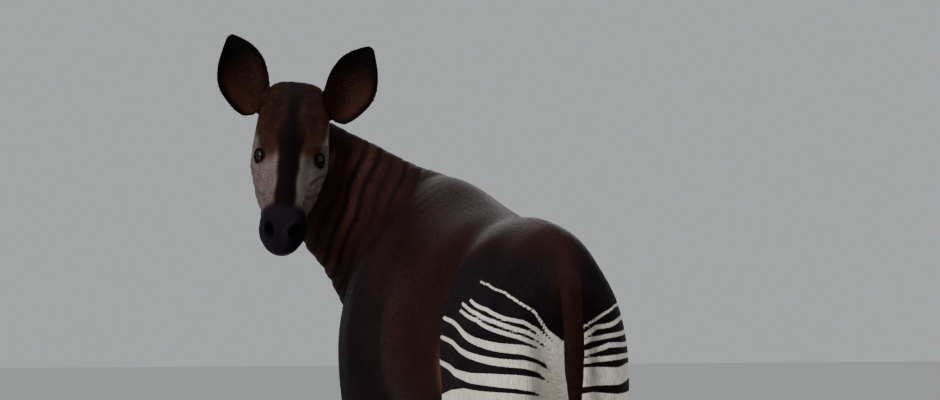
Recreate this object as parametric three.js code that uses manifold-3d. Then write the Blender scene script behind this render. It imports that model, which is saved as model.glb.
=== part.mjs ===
// An okapi at life size, standing still and looking back over its left side.
// Millimetres. +Y runs forward along its back, +X to its right, +Z up. The soles stand on z = 0.
import * as THREE from "three";
import { mergeVertices } from "three/addons/utils/BufferGeometryUtils.js";
import Module from "manifold-3d";

const wasm = await Module();
wasm.setup();

// Heights above the floor
const WITHERS = 1532;
const CROUP = 1420;
const BELLY = 868;
const ELBOW = 930;
const STIFLE = 900;
const HOCK = 565;
const KNEE = 490;
const FETLOCK = 165;
const CORONET = 62;

// Widths of the trunk
const HIP_WIDTH = 385;
const BARREL_WIDTH = 470;
const SHOULDER_WIDTH = 385;

// The head: where its poll is, its length to the nose, and how it is turned
const POLL = new THREE.Vector3(-339, 605, 1742);
const HEAD_LENGTH = 444;
const HEAD_HEADING = 166; // degrees round from straight ahead: it looks back past its left side
const HEAD_PITCH = 53; // degrees that the face points below level
const HEAD_ROLL = 5; // degrees, the right eye up

const EYE_RADIUS = 20;
const LID_THICKNESS = 3.5;
const EAR_LENGTH = 177;
const EAR_LEAN = 32.5; // degrees out from upright
const EAR_THICKNESS = 6;
const TAIL_LENGTH = 370;
const TUFT_LENGTH = 130;

const GAP = 0.3; // between neighbouring pieces
const FAR = 3000; // longer than the animal, for cutting blocks

// Materials, as in the animal's colours
const coat = new THREE.MeshStandardMaterial({ color: 0x2b1a17, roughness: 0.62, metalness: 0 });
const legCoat = new THREE.MeshStandardMaterial({ color: 0xb9aca3, roughness: 0.7, metalness: 0 });
const faceCoat = new THREE.MeshStandardMaterial({ color: 0x8b7b76, roughness: 0.65, metalness: 0 });
const earCoat = new THREE.MeshStandardMaterial({ color: 0x1c100d, roughness: 0.75, metalness: 0 });
const tuftHair = new THREE.MeshStandardMaterial({ color: 0x120c0b, roughness: 0.6, metalness: 0 });
const hoofHorn = new THREE.MeshStandardMaterial({ color: 0x1d1a18, roughness: 0.45, metalness: 0 });
const eyeball = new THREE.MeshStandardMaterial({ color: 0x0b0a0c, roughness: 0.06, metalness: 0 });

const point = (x, y, z) => new THREE.Vector3(x, y, z);
const radians = THREE.MathUtils.degToRad;

// The closed geometry as a solid for cutting and joining
function solid(geometry) {
  const plain = geometry.index ? geometry.toNonIndexed() : geometry.clone();
  plain.deleteAttribute("normal");
  plain.deleteAttribute("uv");
  const merged = mergeVertices(plain, 1e-3);
  return new wasm.Manifold(
    new wasm.Mesh({
      numProp: 3,
      vertProperties: merged.attributes.position.array,
      triVerts: new Uint32Array(merged.index.array),
    }),
  );
}

// The solid's largest closed body as a geometry
function geometryOf(made) {
  const bodies = made.decompose().sort((p, q) => q.volume() - p.volume());
  const mesh = bodies[0].getMesh();
  const geometry = new THREE.BufferGeometry();
  geometry.setAttribute("position", new THREE.BufferAttribute(mesh.vertProperties, 3));
  geometry.setIndex(new THREE.BufferAttribute(mesh.triVerts, 1));
  geometry.computeVertexNormals();
  return geometry;
}

// Faces turned outwards, whichever way the rings run
function facingOut(geometry) {
  const p = geometry.attributes.position;
  const index = geometry.index.array;
  const corner = [point(), point(), point()];
  let volume = 0;
  for (let i = 0; i < index.length; i += 3) {
    corner.forEach((c, k) => c.fromBufferAttribute(p, index[i + k]));
    volume += corner[0].dot(corner[1].clone().cross(corner[2]));
  }
  if (volume < 0)
    for (let i = 0; i < index.length; i += 3)
      [index[i + 1], index[i + 2]] = [index[i + 2], index[i + 1]];
  return geometry;
}

// A closed surface over rings of points, with a point at the middle of each end
function skinOver(rings) {
  const sides = rings[0].length;
  const middle = (ring) =>
    ring.reduce((sum, p) => sum.add(p), point()).divideScalar(sides);
  const points = [...rings.flat(), middle(rings[0]), middle(rings[rings.length - 1])];
  const first = points.length - 2;
  const index = [];
  for (let k = 0; k < sides; k++) {
    const next = (k + 1) % sides;
    for (let r = 0; r < rings.length - 1; r++) {
      const [a, b] = [r * sides + k, r * sides + next];
      index.push(a, b, b + sides, a, b + sides, a + sides);
    }
    const end = (rings.length - 1) * sides;
    index.push(first, next, k, first + 1, end + k, end + next);
  }
  const geometry = new THREE.BufferGeometry().setFromPoints(points);
  geometry.setIndex(index);
  return facingOut(geometry);
}

// A smooth body through sections. Each section is { a, b, width }: a and b are the ends of its main
// diameter and width is measured across that. level (-1 to 1, towards a) is where it is widest, and
// squareA and squareB say how full it is on each side of that: 2 is an ellipse.
function loft(sections, sides, steps) {
  const curve = (pick) =>
    new THREE.CatmullRomCurve3(sections.map(pick), false, "catmullrom", 0.5);
  const endA = curve((s) => s.a);
  const endB = curve((s) => s.b);
  const shape = curve((s) => point(s.width, s.level ?? 0, s.squareA ?? 2));
  const under = curve((s) => point(s.squareB ?? 2, 0, 0));
  const count = (sections.length - 1) * steps;
  const centre = (t) => endA.getPoint(t).add(endB.getPoint(t)).multiplyScalar(0.5);
  const rings = [];
  for (let i = 0; i <= count; i++) {
    const t = i / count;
    const half = endA.getPoint(t).sub(endB.getPoint(t)).multiplyScalar(0.5);
    const along = centre(Math.min(1, t + 0.01)).sub(centre(Math.max(0, t - 0.01)));
    const side = half.clone().cross(along).normalize();
    const { x: width, y: level, z: squareA } = shape.getPoint(t);
    const squareB = under.getPoint(t).x;
    rings.push(
      Array.from({ length: sides }, (_, k) => {
        const turn = (2 * Math.PI * k) / sides;
        const power = 2 / (Math.cos(turn) >= 0 ? squareA : squareB);
        const bulge = (v) => Math.sign(v) * Math.abs(v) ** power;
        const up = bulge(Math.cos(turn));
        return centre(t)
          .addScaledVector(half, level + up * (1 - Math.sign(up) * level))
          .addScaledVector(side, (bulge(Math.sin(turn)) * width) / 2);
      }),
    );
  }
  return skinOver(rings);
}

// Everything on the side of a plane that its normal points to, as a block
function beyond([at, normal], margin) {
  const block = new THREE.BoxGeometry(FAR, FAR, FAR);
  block.translate(0, 0, FAR / 2 - margin);
  const turn = new THREE.Quaternion().setFromUnitVectors(
    point(0, 0, 1),
    normal.clone().normalize(),
  );
  return solid(block.applyQuaternion(turn).translate(at.x, at.y, at.z));
}

// The block that several planes leave, grown outwards by a margin
function region(planes, margin = 0) {
  return planes
    .map((plane) => beyond(plane, margin))
    .reduce((kept, block) => kept.intersect(block));
}

// Trunk, from the buttocks to the breast: top and bottom of each section, its width, and how high
// it is widest
function trunk() {
  const rows = [
    [point(0, -622, 1270), point(0, -615, 1150), 80, 0],
    [point(0, -600, 1338), point(0, -575, 1040), 205, -0.05],
    [point(0, -530, CROUP - 26), point(0, -505, 960), 296, -0.2],
    [point(0, -415, CROUP - 5), point(0, -400, 915), HIP_WIDTH - 30, -0.25],
    [point(-5, -280, CROUP + 2), point(-5, -260, 905), HIP_WIDTH + 12, -0.2],
    [point(0, -160, CROUP + 2), point(0, -150, 895), HIP_WIDTH - 40, -0.18],
    [point(0, -40, CROUP + 20), point(0, -40, BELLY + 8), BARREL_WIDTH - 42, -0.15],
    [point(0, 90, CROUP + 50), point(-10, 90, BELLY), BARREL_WIDTH, -0.15],
    [point(-4, 240, WITHERS - 22), point(-30, 240, BELLY - 2), BARREL_WIDTH - 35, -0.15],
    [point(-10, 350, WITHERS - 4), point(-66, 360, BELLY + 8), SHOULDER_WIDTH + 5, -0.1],
    [point(-18, 430, WITHERS - 8), point(-94, 480, BELLY + 45), SHOULDER_WIDTH - 45, -0.05],
    [point(-42, 505, WITHERS - 95), point(-120, 585, BELLY + 110), SHOULDER_WIDTH - 120, 0],
    [point(-64, 560, WITHERS - 200), point(-126, 634, BELLY + 200), 130, 0],
  ];
  const sections = rows.map(([a, b, width, level], i) => ({
    a,
    b,
    width,
    level,
    squareA: i > 6 ? 1.7 : 1.9,
    squareB: 2.2,
  }));
  return loft(sections, 26, 2);
}

// Neck, from between the shoulders, round to the left, to the back of the skull: crest, throat, width
function neck() {
  const rows = [
    [point(0, 270, 1462), point(-75, 560, 985), 262],
    [point(-12, 395, WITHERS - 2), point(-125, 650, 1100), 262],
    [point(-52, 520, 1560), point(-190, 684, 1200), 224],
    [point(-125, 640, 1612), point(-248, 684, 1290), 196],
    [point(-218, 702, 1662), point(-300, 716, 1368), 176],
    [point(-284, 706, 1706), point(-308, 742, 1470), 158],
    [point(-314, 668, 1734), point(-302, 718, 1572), 132],
  ];
  return loft(
    rows.map(([a, b, width]) => ({ a, b, width, level: -0.1, squareA: 1.8 })),
    20,
    2,
  );
}

// Each leg is a list of rows: height, its front and back, their distances from the midline, and width
const HIND_ROWS = [
  [1330, -330, -450, 70, 65, 60],
  [1250, -235, -575, 110, 78, 142],
  [1130, -185, -648, 130, 84, 168],
  [1000, -190, -655, 138, 88, 160],
  [STIFLE, -203, -618, 134, 96, 140],
  [800, -250, -574, 128, 104, 118],
  [705, -335, -565, 122, 110, 94],
  [625, -415, -602, 118, 113, 77],
  [HOCK, -470, -636, 115, 115, 75],
  [500, -492, -612, 114, 114, 67],
  [410, -506, -584, 114, 114, 52],
  [290, -510, -570, 114, 114, 46],
  [205, -505, -573, 114, 114, 53],
  [FETLOCK, -494, -577, 114, 114, 65],
  [118, -474, -546, 114, 114, 56],
  [80, -452, -540, 114, 114, 68],
  [40, -440, -532, 114, 114, 70],
];
const FORE_ROWS = [
  [1400, 400, 320, 62, 58, 50],
  [1300, 480, 250, 100, 100, 110],
  [1160, 545, 205, 118, 128, 132],
  [1040, 528, 215, 124, 132, 128],
  [ELBOW, 465, 240, 126, 132, 112],
  [840, 425, 280, 126, 128, 95],
  [720, 408, 305, 124, 124, 79],
  [600, 404, 325, 122, 122, 68],
  [530, 412, 326, 121, 121, 74],
  [KNEE - 10, 414, 330, 120, 120, 74],
  [415, 400, 338, 120, 120, 56],
  [290, 396, 342, 120, 120, 46],
  [205, 399, 338, 120, 120, 52],
  [FETLOCK, 409, 332, 120, 120, 64],
  [118, 428, 358, 120, 120, 56],
  [80, 450, 364, 120, 120, 68],
  [40, 460, 372, 120, 120, 70],
];

// Where each leg stands: its rows, its side, and how far it is moved from the rows
const LEGS = [
  { name: "hind_left", rows: HIND_ROWS, sign: -1, shift: point(0, 20, 0) },
  { name: "hind_right", rows: HIND_ROWS, sign: 1, shift: point(-9, -20, 0) },
  { name: "fore_left", rows: FORE_ROWS, sign: -1, shift: point(-82, 25, 0) },
  { name: "fore_right", rows: FORE_ROWS, sign: 1, shift: point(-62, -20, 0) },
];

function leg({ rows, sign, shift }) {
  const sections = rows.map(([z, front, back, xFront, xBack, width]) => ({
    a: point(sign * xFront, front, z).add(shift),
    b: point(sign * xBack, back, z).add(shift),
    width,
    squareA: 2.1,
    squareB: 2.1,
  }));
  return loft(sections, 12, 2);
}

// The middle of a leg's foot on the floor
function footOf({ rows, sign, shift }) {
  const [, front, back, x] = rows[rows.length - 1];
  return point(sign * x, (front + back) / 2, 0).add(shift);
}

// The plane that parts a foot from its hooves, higher in front
const CORONET_SLOPE = radians(20);
const coronet = (place) => [
  footOf(place).setZ(CORONET),
  point(0, Math.sin(CORONET_SLOPE), -Math.cos(CORONET_SLOPE)),
];

// One claw of a cloven hoof, its flat sole on the floor
function claw(place, side) {
  const foot = footOf(place);
  const x = foot.x + side * 20.5;
  const row = (z, front, back, width) => ({
    a: point(x, foot.y + front, z),
    b: point(x, foot.y + back, z),
    width,
    level: -0.3,
    squareA: 1.8,
    squareB: 2.4,
  });
  const sections = [
    row(0, 66, -42, 39),
    row(28, 58, -43, 38),
    row(60, 46, -42, 36),
    row(95, 34, -40, 33),
  ];
  return solid(loft(sections, 14, 1)).intersect(region([coronet(place)]));
}

// The head's own frame: x to its right, y from the poll to the nose, z out of the forehead. It is
// tipped about the level line that it looks along.
const heading = radians(HEAD_HEADING);
const gaze = point(-Math.sin(heading), Math.cos(heading), 0);
const headRight = gaze.clone().cross(point(0, 0, 1)).applyAxisAngle(gaze, -radians(HEAD_ROLL));
const headUp = headRight.clone().cross(gaze);
const headForward = gaze.clone().applyAxisAngle(headRight, -radians(HEAD_PITCH));
const HEAD = new THREE.Matrix4()
  .makeBasis(headRight, headForward, headRight.clone().cross(headForward))
  .setPosition(POLL);
const onHead = (x, y, z) => point(x, y, z).applyMatrix4(HEAD);
const headPlane = (x, y, z, nx, ny, nz) => [
  onHead(x, y, z),
  point(nx, ny, nz).transformDirection(HEAD),
];

// Skull and muzzle: distance from the poll, top, bottom and width of each section, and how high it
// is widest. A margin makes all of it fuller.
function skull(margin = 0) {
  const rows = [
    [-62, -62, -118, 48, 0],
    [-38, -18, -165, 138, 0.1],
    [8, -3, -200, 170, 0.3],
    [58, 8, -218, 180, 0.3],
    [112, 11, -216, 188, 0.25],
    [158, 4, -202, 189, 0.2],
    [205, -7, -184, 174, 0.1],
    [250, -14, -164, 153, -0.05],
    [296, -18, -147, 130, -0.1],
    [338, -22, -134, 114, -0.05],
    [380, -27, -130, 112, -0.05],
    [HEAD_LENGTH - 40, -36, -127, 98, 0],
    [HEAD_LENGTH - 14, -52, -115, 66, 0],
    [HEAD_LENGTH - 2, -70, -101, 30, 0],
  ];
  const sections = rows.map(([y, top, bottom, width, level], i) => ({
    a: onHead(0, y, top + margin),
    b: onHead(0, y, bottom - margin),
    width: width + 2 * margin,
    level,
    squareA: i < 4 ? 3.2 : i < 6 ? 2.7 : 2.3,
    squareB: 2.2,
  }));
  return solid(loft(sections, 26, 2));
}

// A sphere round a place, stretched along the head's right, its length and its height
function egg(at, rx, ry, rz) {
  const geometry = new THREE.SphereGeometry(1, 20, 12).scale(rx, ry, rz);
  geometry.applyMatrix4(new THREE.Matrix4().extractRotation(HEAD));
  return solid(geometry.translate(at.x, at.y, at.z));
}
const ball = (at, radius) => egg(at, radius, radius, radius);

// An eye looks out to its side, a little forwards and up
const eyeAt = (side) => onHead(side * 65, 184, -44);
const eyeGaze = (side) => point(side * 0.68, 0.36, 0.64).normalize().transformDirection(HEAD);

// The opening between the lids: a pointed oval, seen along the eye's gaze
function lidOpening(side) {
  const along = eyeGaze(side);
  const level = point(0, 1, -0.12).transformDirection(HEAD);
  const up = level.clone().cross(along).normalize();
  if (up.dot(headUp) < 0) up.negate();
  const corner = along.clone().cross(up).normalize();
  const around = 20;
  const ring = (distance) =>
    Array.from({ length: around }, (_, k) => {
      const turn = (2 * Math.PI * k) / around;
      const height = Math.sin(turn) * (Math.sin(turn) > 0 ? 11.5 : 9.5);
      return eyeAt(side)
        .addScaledVector(along, distance)
        .addScaledVector(corner, Math.cos(turn) * 17.5)
        .addScaledVector(up, height * Math.abs(Math.sin(turn)) ** 0.25);
    });
  return solid(skinOver([ring(2), ring(50)]));
}

// A slit nostril, and the line between the lips on both sides
const nostril = (side) => egg(onHead(side * 29, HEAD_LENGTH - 38, -47), 8, 13, 14);
function mouthLine() {
  const slit = new THREE.BoxGeometry(160, 150, 1.8);
  slit.applyMatrix4(new THREE.Matrix4().makeRotationX(radians(18)));
  slit.translate(0, HEAD_LENGTH - 35, -98).applyMatrix4(HEAD);
  return solid(slit).subtract(skull(-5));
}

// The head with its features
function headWithFace() {
  let made = skull();
  for (const side of [-1, 1]) made = made.add(ball(eyeAt(side), EYE_RADIUS + LID_THICKNESS));
  for (const side of [-1, 1])
    made = made
      .subtract(ball(eyeAt(side), EYE_RADIUS + GAP))
      .subtract(lidOpening(side))
      .subtract(nostril(side));
  return made.subtract(mouthLine());
}

// Across an ear at each height from its root: how far it reaches outwards and inwards, and its depth
const EAR_ROWS = [
  [-0.13, 50, -22, 6],
  [-0.07, 68, 2, 24],
  [0.02, 76, 22, 36],
  [0.16, 83, 34, 46],
  [0.35, 87, 45, 50],
  [0.52, 81, 48, 47],
  [0.7, 62, 42, 36],
  [0.86, 35, 26, 20],
  [1, 7, 6, 6],
];

// An ear: a leaf of skin bent round its length into a cup that opens the way the head looks, on a
// short thick root. Whatever would lie in the head is cut away.
function ear(side, fleshNearby) {
  const lean = radians(EAR_LEAN);
  const axis = headUp.clone().multiplyScalar(Math.cos(lean));
  axis.addScaledVector(headRight, side * Math.sin(lean));
  const outwards = headRight.clone().multiplyScalar(side * Math.cos(lean));
  outwards.addScaledVector(headUp, -Math.sin(lean));
  const base = onHead(side * 81, 5, -40);
  const place = (out, high, forward) =>
    base
      .clone()
      .addScaledVector(outwards, out)
      .addScaledVector(axis, high)
      .addScaledVector(gaze, forward);
  const profile = new THREE.CatmullRomCurve3(EAR_ROWS.map(([t, out, inn]) => point(t, out, inn)));
  const depths = new THREE.CatmullRomCurve3(EAR_ROWS.map(([t, , , depth]) => point(t, depth, 0)));
  const stations = 12;
  const across = 12;
  const row = (i, inset, flatAt) =>
    Array.from({ length: across + 1 }, (_, k) => {
      const { x: t, y: out, z: inn } = profile.getPoint(i / stations);
      const depth = depths.getPoint(i / stations).y;
      const turn = Math.PI * (k / across - 0.5);
      const middle = (out - inn) / 2;
      const reach = ((out + inn) / 2) * Math.sin(turn);
      const narrowed = reach * (1 - inset / (Math.abs(reach) + 34));
      const hollow = -depth * Math.cos(turn) + inset * (0.4 + 0.6 * Math.cos(turn));
      return place(middle + narrowed, t * EAR_LENGTH, flatAt ?? hollow);
    });
  const rows = Array.from({ length: stations + 1 }, (_, i) => i);
  const shell = rows.map((i) => [...row(i, 0), ...row(i, EAR_THICKNESS).reverse()]);
  const hollow = rows.map((i) => [...row(i, EAR_THICKNESS / 2), ...row(i, 0, 60).reverse()]);
  const root = loft(
    [
      { a: onHead(side * 36, 55, -50), b: onHead(side * 30, -15, -100), width: 70 },
      { a: place(-6, -22, 2), b: place(-2, -30, -62), width: 66 },
      { a: place(20, 12, -18), b: place(20, 6, -62), width: 52 },
      { a: place(26, 40, -38), b: place(26, 38, -58), width: 24 },
    ],
    12,
    2,
  );
  return solid(root).subtract(solid(skinOver(hollow))).add(solid(skinOver(shell))).subtract(fleshNearby);
}

// The tail's line from its root, hanging close behind the buttocks
const TAIL_TOP = 1300;
const TAIL_LINE = new THREE.CatmullRomCurve3([
  point(0, -540, 1305),
  point(0, -610, 1295),
  point(0, -655, 1248),
  point(0, -672, 1170),
  point(0, -679, 1080),
  point(0, -682, TAIL_TOP - TAIL_LENGTH),
  point(0, -681, TAIL_TOP - TAIL_LENGTH - TUFT_LENGTH * 0.48),
]);
const TAIL_WIDTHS = [66, 72, 68, 62, 54, 38, 16];

function tailSections(widths) {
  return TAIL_LINE.points.map((p, i) => {
    const along = TAIL_LINE.getTangent(i / (widths.length - 1));
    const back = along.clone().cross(point(1, 0, 0)).setLength(widths[i] * 0.38);
    return { a: p.clone().add(back), b: p.clone().sub(back), width: widths[i] };
  });
}
const tailBody = () => solid(loft(tailSections(TAIL_WIDTHS), 12, 2));

// The tuft's locks: flat and tapered, rooted in tiers round the end of the tail, bowed out and in again
const LOCK_TIERS = [
  { count: 9, root: 921, tip: 826, bow: 21 },
  { count: 7, root: 903, tip: 810, bow: 16 },
  { count: 5, root: 884, tip: 802, bow: 9 },
];
const LOCK_WIDTH = 15;
const LOCK_THICKNESS = 5;
const LOCK_TAPER = [0.75, 1, 0.9, 0.6, 0.1];

// Even but unordered numbers from 0 to 1, the same in each run
let seed = 7;
function chance() {
  seed = (seed * 16807) % 2147483647;
  return seed / 2147483647;
}

function lock(turn, { root, tip, bow }) {
  const out = point(Math.cos(turn), Math.sin(turn), 0);
  const across = point(-Math.sin(turn), Math.cos(turn), 0);
  const end = tip + 10 * chance();
  const sway = 8 * (chance() - 0.5);
  const rings = LOCK_TAPER.map((taper, i) => {
    const t = i / (LOCK_TAPER.length - 1);
    const middle = point(0, -681, root + (end - root) * t)
      .addScaledVector(out, 5 + bow * Math.sin(Math.PI * (0.05 + 0.7 * t)))
      .addScaledVector(across, sway * t * t);
    const wide = across.clone().multiplyScalar((LOCK_WIDTH * taper) / 2);
    const deep = out.clone().multiplyScalar((LOCK_THICKNESS * taper) / 2);
    return [wide, deep, wide.clone().negate(), deep.clone().negate()].map((v) => v.add(middle));
  });
  return solid(skinOver(rings));
}

function tuftLocks() {
  return LOCK_TIERS.flatMap((tier, n) =>
    Array.from({ length: tier.count }, (_, k) =>
      lock((2 * Math.PI * (k + 0.35 * n + 0.3 * chance())) / tier.count, tier),
    ),
  );
}

// Build the flesh whole
const whole = [trunk(), neck(), ...LEGS.map(leg)]
  .map(solid)
  .concat(tailBody(), tuftLocks(), headWithFace())
  .reduce((sum, piece) => sum.add(piece));

// The planes that part it. Each list of planes leaves a block round one piece.
const headBlock = [
  headPlane(0, -52, -25, 0, 0.93, 0.37),
  headPlane(-125, 0, 0, 1, 0, 0),
  headPlane(125, 0, 0, -1, 0, 0),
  headPlane(0, 0, -245, 0, 0, 1),
];
const neckBlock = [[point(-105, 565, 1360), point(-0.5, 0.62, 0.6)]];
const tailBlock = [
  [point(0, -636, 1262), point(0, -1, -0.3)],
  [point(-52, 0, 0), point(1, 0, 0)],
  [point(52, 0, 0), point(-1, 0, 0)],
  [point(0, 0, 800), point(0, 0, 1)],
];
const tuftBlock = [...tailBlock, [point(0, 0, TAIL_TOP - TAIL_LENGTH), point(0, 0, -1)]];
function legBlock({ sign, shift, rows }) {
  const hind = rows === HIND_ROWS;
  return [
    [point(shift.x * 0.9 + sign * 8, 0, 905), point(sign * 0.6, 0, -0.8)],
    [point(shift.x * 0.9 + sign * (GAP / 2), 0, 0), point(sign, 0, 0)],
    hind ? [point(0, -165, 0), point(0, -1, 0)] : [point(0, 185, 0), point(0, 1, 0)],
  ];
}

const model = new THREE.Group();
function addNode(name, made, material) {
  const geometry = geometryOf(made);
  const mesh = new THREE.Mesh(geometry, material);
  mesh.name = name;
  model.add(mesh);
}

let rest = whole;
function part(name, block, material) {
  addNode(name, rest.intersect(region(block)), material);
  rest = rest.subtract(region(block, GAP));
}
part("head", headBlock, faceCoat);
part("tail_tuft", tuftBlock, tuftHair);
part("tail", tailBlock, coat);
for (const place of LEGS) {
  rest = rest.subtract(region([...legBlock(place), coronet(place)], GAP / 2));
  part("leg_" + place.name, legBlock(place), legCoat);
}
part("neck", neckBlock, coat);
addNode("torso", rest, coat);

const flesh = skull(GAP).add(solid(neck()));
for (const side of [-1, 1]) {
  const name = side < 0 ? "left" : "right";
  addNode("eye_" + name, ball(eyeAt(side), EYE_RADIUS), eyeball);
  addNode("ear_" + name, ear(side, flesh), earCoat);
}
for (const place of LEGS)
  for (const side of [-1, 1])
    addNode(`hoof_${place.name}_${side < 0 ? "left" : "right"}`, claw(place, side), hoofHorn);

// The origin goes to the floor under the middle of the model
const box = new THREE.Box3().setFromObject(model);
const middle = box.getCenter(point()).setZ(box.min.z);
for (const mesh of model.children) mesh.geometry.translate(-middle.x, -middle.y, -middle.z);

export default model;
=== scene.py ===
# The looks of a life-size okapi that stands still and looks back over its left side.
# Metres. The design's own places are in millimetres, as in the solids, and are moved into the frame.
import math

import bpy
import numpy as np
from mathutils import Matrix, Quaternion, Vector


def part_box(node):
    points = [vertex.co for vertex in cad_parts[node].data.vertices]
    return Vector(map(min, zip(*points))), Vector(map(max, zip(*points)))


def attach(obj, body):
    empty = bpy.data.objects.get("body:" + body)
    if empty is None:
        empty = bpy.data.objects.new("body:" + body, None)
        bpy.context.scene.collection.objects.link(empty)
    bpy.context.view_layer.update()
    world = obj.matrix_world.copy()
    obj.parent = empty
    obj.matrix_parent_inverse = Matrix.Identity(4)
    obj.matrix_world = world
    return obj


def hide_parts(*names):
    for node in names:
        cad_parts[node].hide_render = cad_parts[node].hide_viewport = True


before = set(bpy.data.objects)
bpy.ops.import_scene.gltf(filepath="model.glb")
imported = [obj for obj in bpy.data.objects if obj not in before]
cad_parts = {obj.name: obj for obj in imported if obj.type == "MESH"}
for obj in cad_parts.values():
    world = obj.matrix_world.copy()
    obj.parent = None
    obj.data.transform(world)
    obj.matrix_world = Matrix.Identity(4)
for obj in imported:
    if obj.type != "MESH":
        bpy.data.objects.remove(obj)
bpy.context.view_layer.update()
rng = np.random.default_rng(11)
MM = 0.001

# Driving dimensions, in millimetres, as in the solids
WITHERS = 1532
CROUP = 1420
BELLY = 868
ELBOW = 930
STIFLE = 900
HOCK = 565
KNEE = 490
FETLOCK = 165
HIP_WIDTH = 385
BARREL_WIDTH = 470
SHOULDER_WIDTH = 385
POLL = Vector((-339, 605, 1742))
HEAD_LENGTH = 444
HEAD_HEADING = 166
HEAD_PITCH = 53
HEAD_ROLL = 5
EYE_RADIUS = 20
LID_THICKNESS = 3.5
UPPER_LID = 11.5
LOWER_LID = 9.5
EYE_CORNER = 17.5
EAR_LENGTH = 177
EAR_LEAN = 32.5
EAR_REACH = 215
TAIL_TOP = 1300
TAIL_LENGTH = 370
TUFT_LENGTH = 130

# How far the skin lies inside the solids, for the short coat
COAT_DEPTH = 3.0
BODY_VOXEL = 0.006
HEAD_VOXEL = 0.0024

# How far the skin's white reaches past the tufts', in millimetres, and the most tufts in one piece
WHITE_PAST_TUFTS = 0.8
TUFTS_EACH = 44000

# The photograph's camera: how it is turned, what it looks at, and its distance and height in metres
VIEW_AZIMUTH = -15
VIEW_MIDDLE = (-0.21, -0.57)
VIEW_DISTANCE = 10.0
VIEW_HEIGHT = 1.35
FOCAL_PIXELS = 4500
PHOTO_WIDTH = 940
HORIZON_BELOW_MIDDLE = 48
CAMERA_RIGHT = (math.cos(math.radians(VIEW_AZIMUTH)), math.sin(math.radians(VIEW_AZIMUTH)), 0)

# The head's own frame: x to its right, y from the poll to the nose, z out of the forehead
heading = math.radians(HEAD_HEADING)
gaze = Vector((-math.sin(heading), math.cos(heading), 0))
head_right = gaze.cross(Vector((0, 0, 1)))
head_right.rotate(Quaternion(gaze, -math.radians(HEAD_ROLL)))
head_up = head_right.cross(gaze)
head_forward = gaze.copy()
head_forward.rotate(Quaternion(head_right, -math.radians(HEAD_PITCH)))
head_out = head_right.cross(head_forward)


def on_head(x, y, z):
    return POLL + head_right * x + head_forward * y + head_out * z


def eye_at(side):
    return on_head(side * 65, 184, -44)


def eye_gaze(side):
    v = Vector((side * 0.68, 0.36, 0.64)).normalized()
    return (head_right * v.x + head_forward * v.y + head_out * v.z).normalized()


# The solids are centred on the floor: the left eye shows by how much
low, high = (np.array(corner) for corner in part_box("eye_left"))
SHIFT = (low + high) / 2 - np.array(eye_at(-1)) * MM


def placed(points):
    return np.asarray(points, dtype=float) * MM + SHIFT


def design(points):
    return (points - SHIFT) / MM


HEAD_AXES = np.array([head_right, head_forward, head_out])


def head_place(points):
    return (design(points) - np.array(POLL)) @ HEAD_AXES.T


# Mesh helpers
def mesh_object(name, points, faces):
    mesh = bpy.data.meshes.new(name)
    mesh.from_pydata([tuple(p) for p in points], [], [tuple(f) for f in faces])
    mesh.update()
    piece = bpy.data.objects.new(name, mesh)
    bpy.context.scene.collection.objects.link(piece)
    return piece


def applied(piece, kind, **settings):
    modifier = piece.modifiers.new(kind, kind)
    for key, value in settings.items():
        setattr(modifier, key, value)
    depsgraph = bpy.context.evaluated_depsgraph_get()
    made = bpy.data.meshes.new_from_object(piece.evaluated_get(depsgraph))
    piece.modifiers.clear()
    old = piece.data
    piece.data = made
    bpy.data.meshes.remove(old)
    return piece


def combined(piece, other, operation):
    applied(piece, "BOOLEAN", object=other, operation=operation, solver="MANIFOLD")
    bpy.data.objects.remove(other)
    return piece


def joined(name, parts):
    points = []
    faces = []
    for part_points, part_faces in parts:
        faces += [tuple(i + len(points) for i in f) for f in part_faces]
        points += list(part_points)
    return mesh_object(name, points, faces)


def outward(points, faces):
    p = np.array(points)
    volume = sum(np.dot(p[f[0]], np.cross(p[f[k]], p[f[k + 1]])) for f in faces for k in range(1, len(f) - 1))
    return faces if volume > 0 else [tuple(reversed(f)) for f in faces]


def skin_over(rings):
    sides = len(rings[0])
    points = np.vstack([*rings, rings[0].mean(0)[None], rings[-1].mean(0)[None]])
    first = len(points) - 2
    faces = []
    end = (len(rings) - 1) * sides
    for k in range(sides):
        n = (k + 1) % sides
        for r in range(len(rings) - 1):
            a, b = r * sides + k, r * sides + n
            faces.append((a, b, b + sides, a + sides))
        faces.append((first, n, k))
        faces.append((first + 1, end + k, end + n))
    return points, outward(points, faces)


def spline(rows, t):
    rows = np.asarray(rows, dtype=float)
    padded = np.vstack([2 * rows[0] - rows[1], rows, 2 * rows[-1] - rows[-2]])
    x = np.clip(np.asarray(t, dtype=float), 0, 1) * (len(rows) - 1)
    i = np.minimum(x.astype(int), len(rows) - 2)
    w = (x - i)[:, None]
    p0, p1, p2, p3 = padded[i], padded[i + 1], padded[i + 2], padded[i + 3]
    v0, v1 = (p2 - p0) / 2, (p3 - p1) / 2
    return (2 * p1 - 2 * p2 + v0 + v1) * w**3 + (-3 * p1 + 3 * p2 - 2 * v0 - v1) * w**2 + v0 * w + p1


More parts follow.
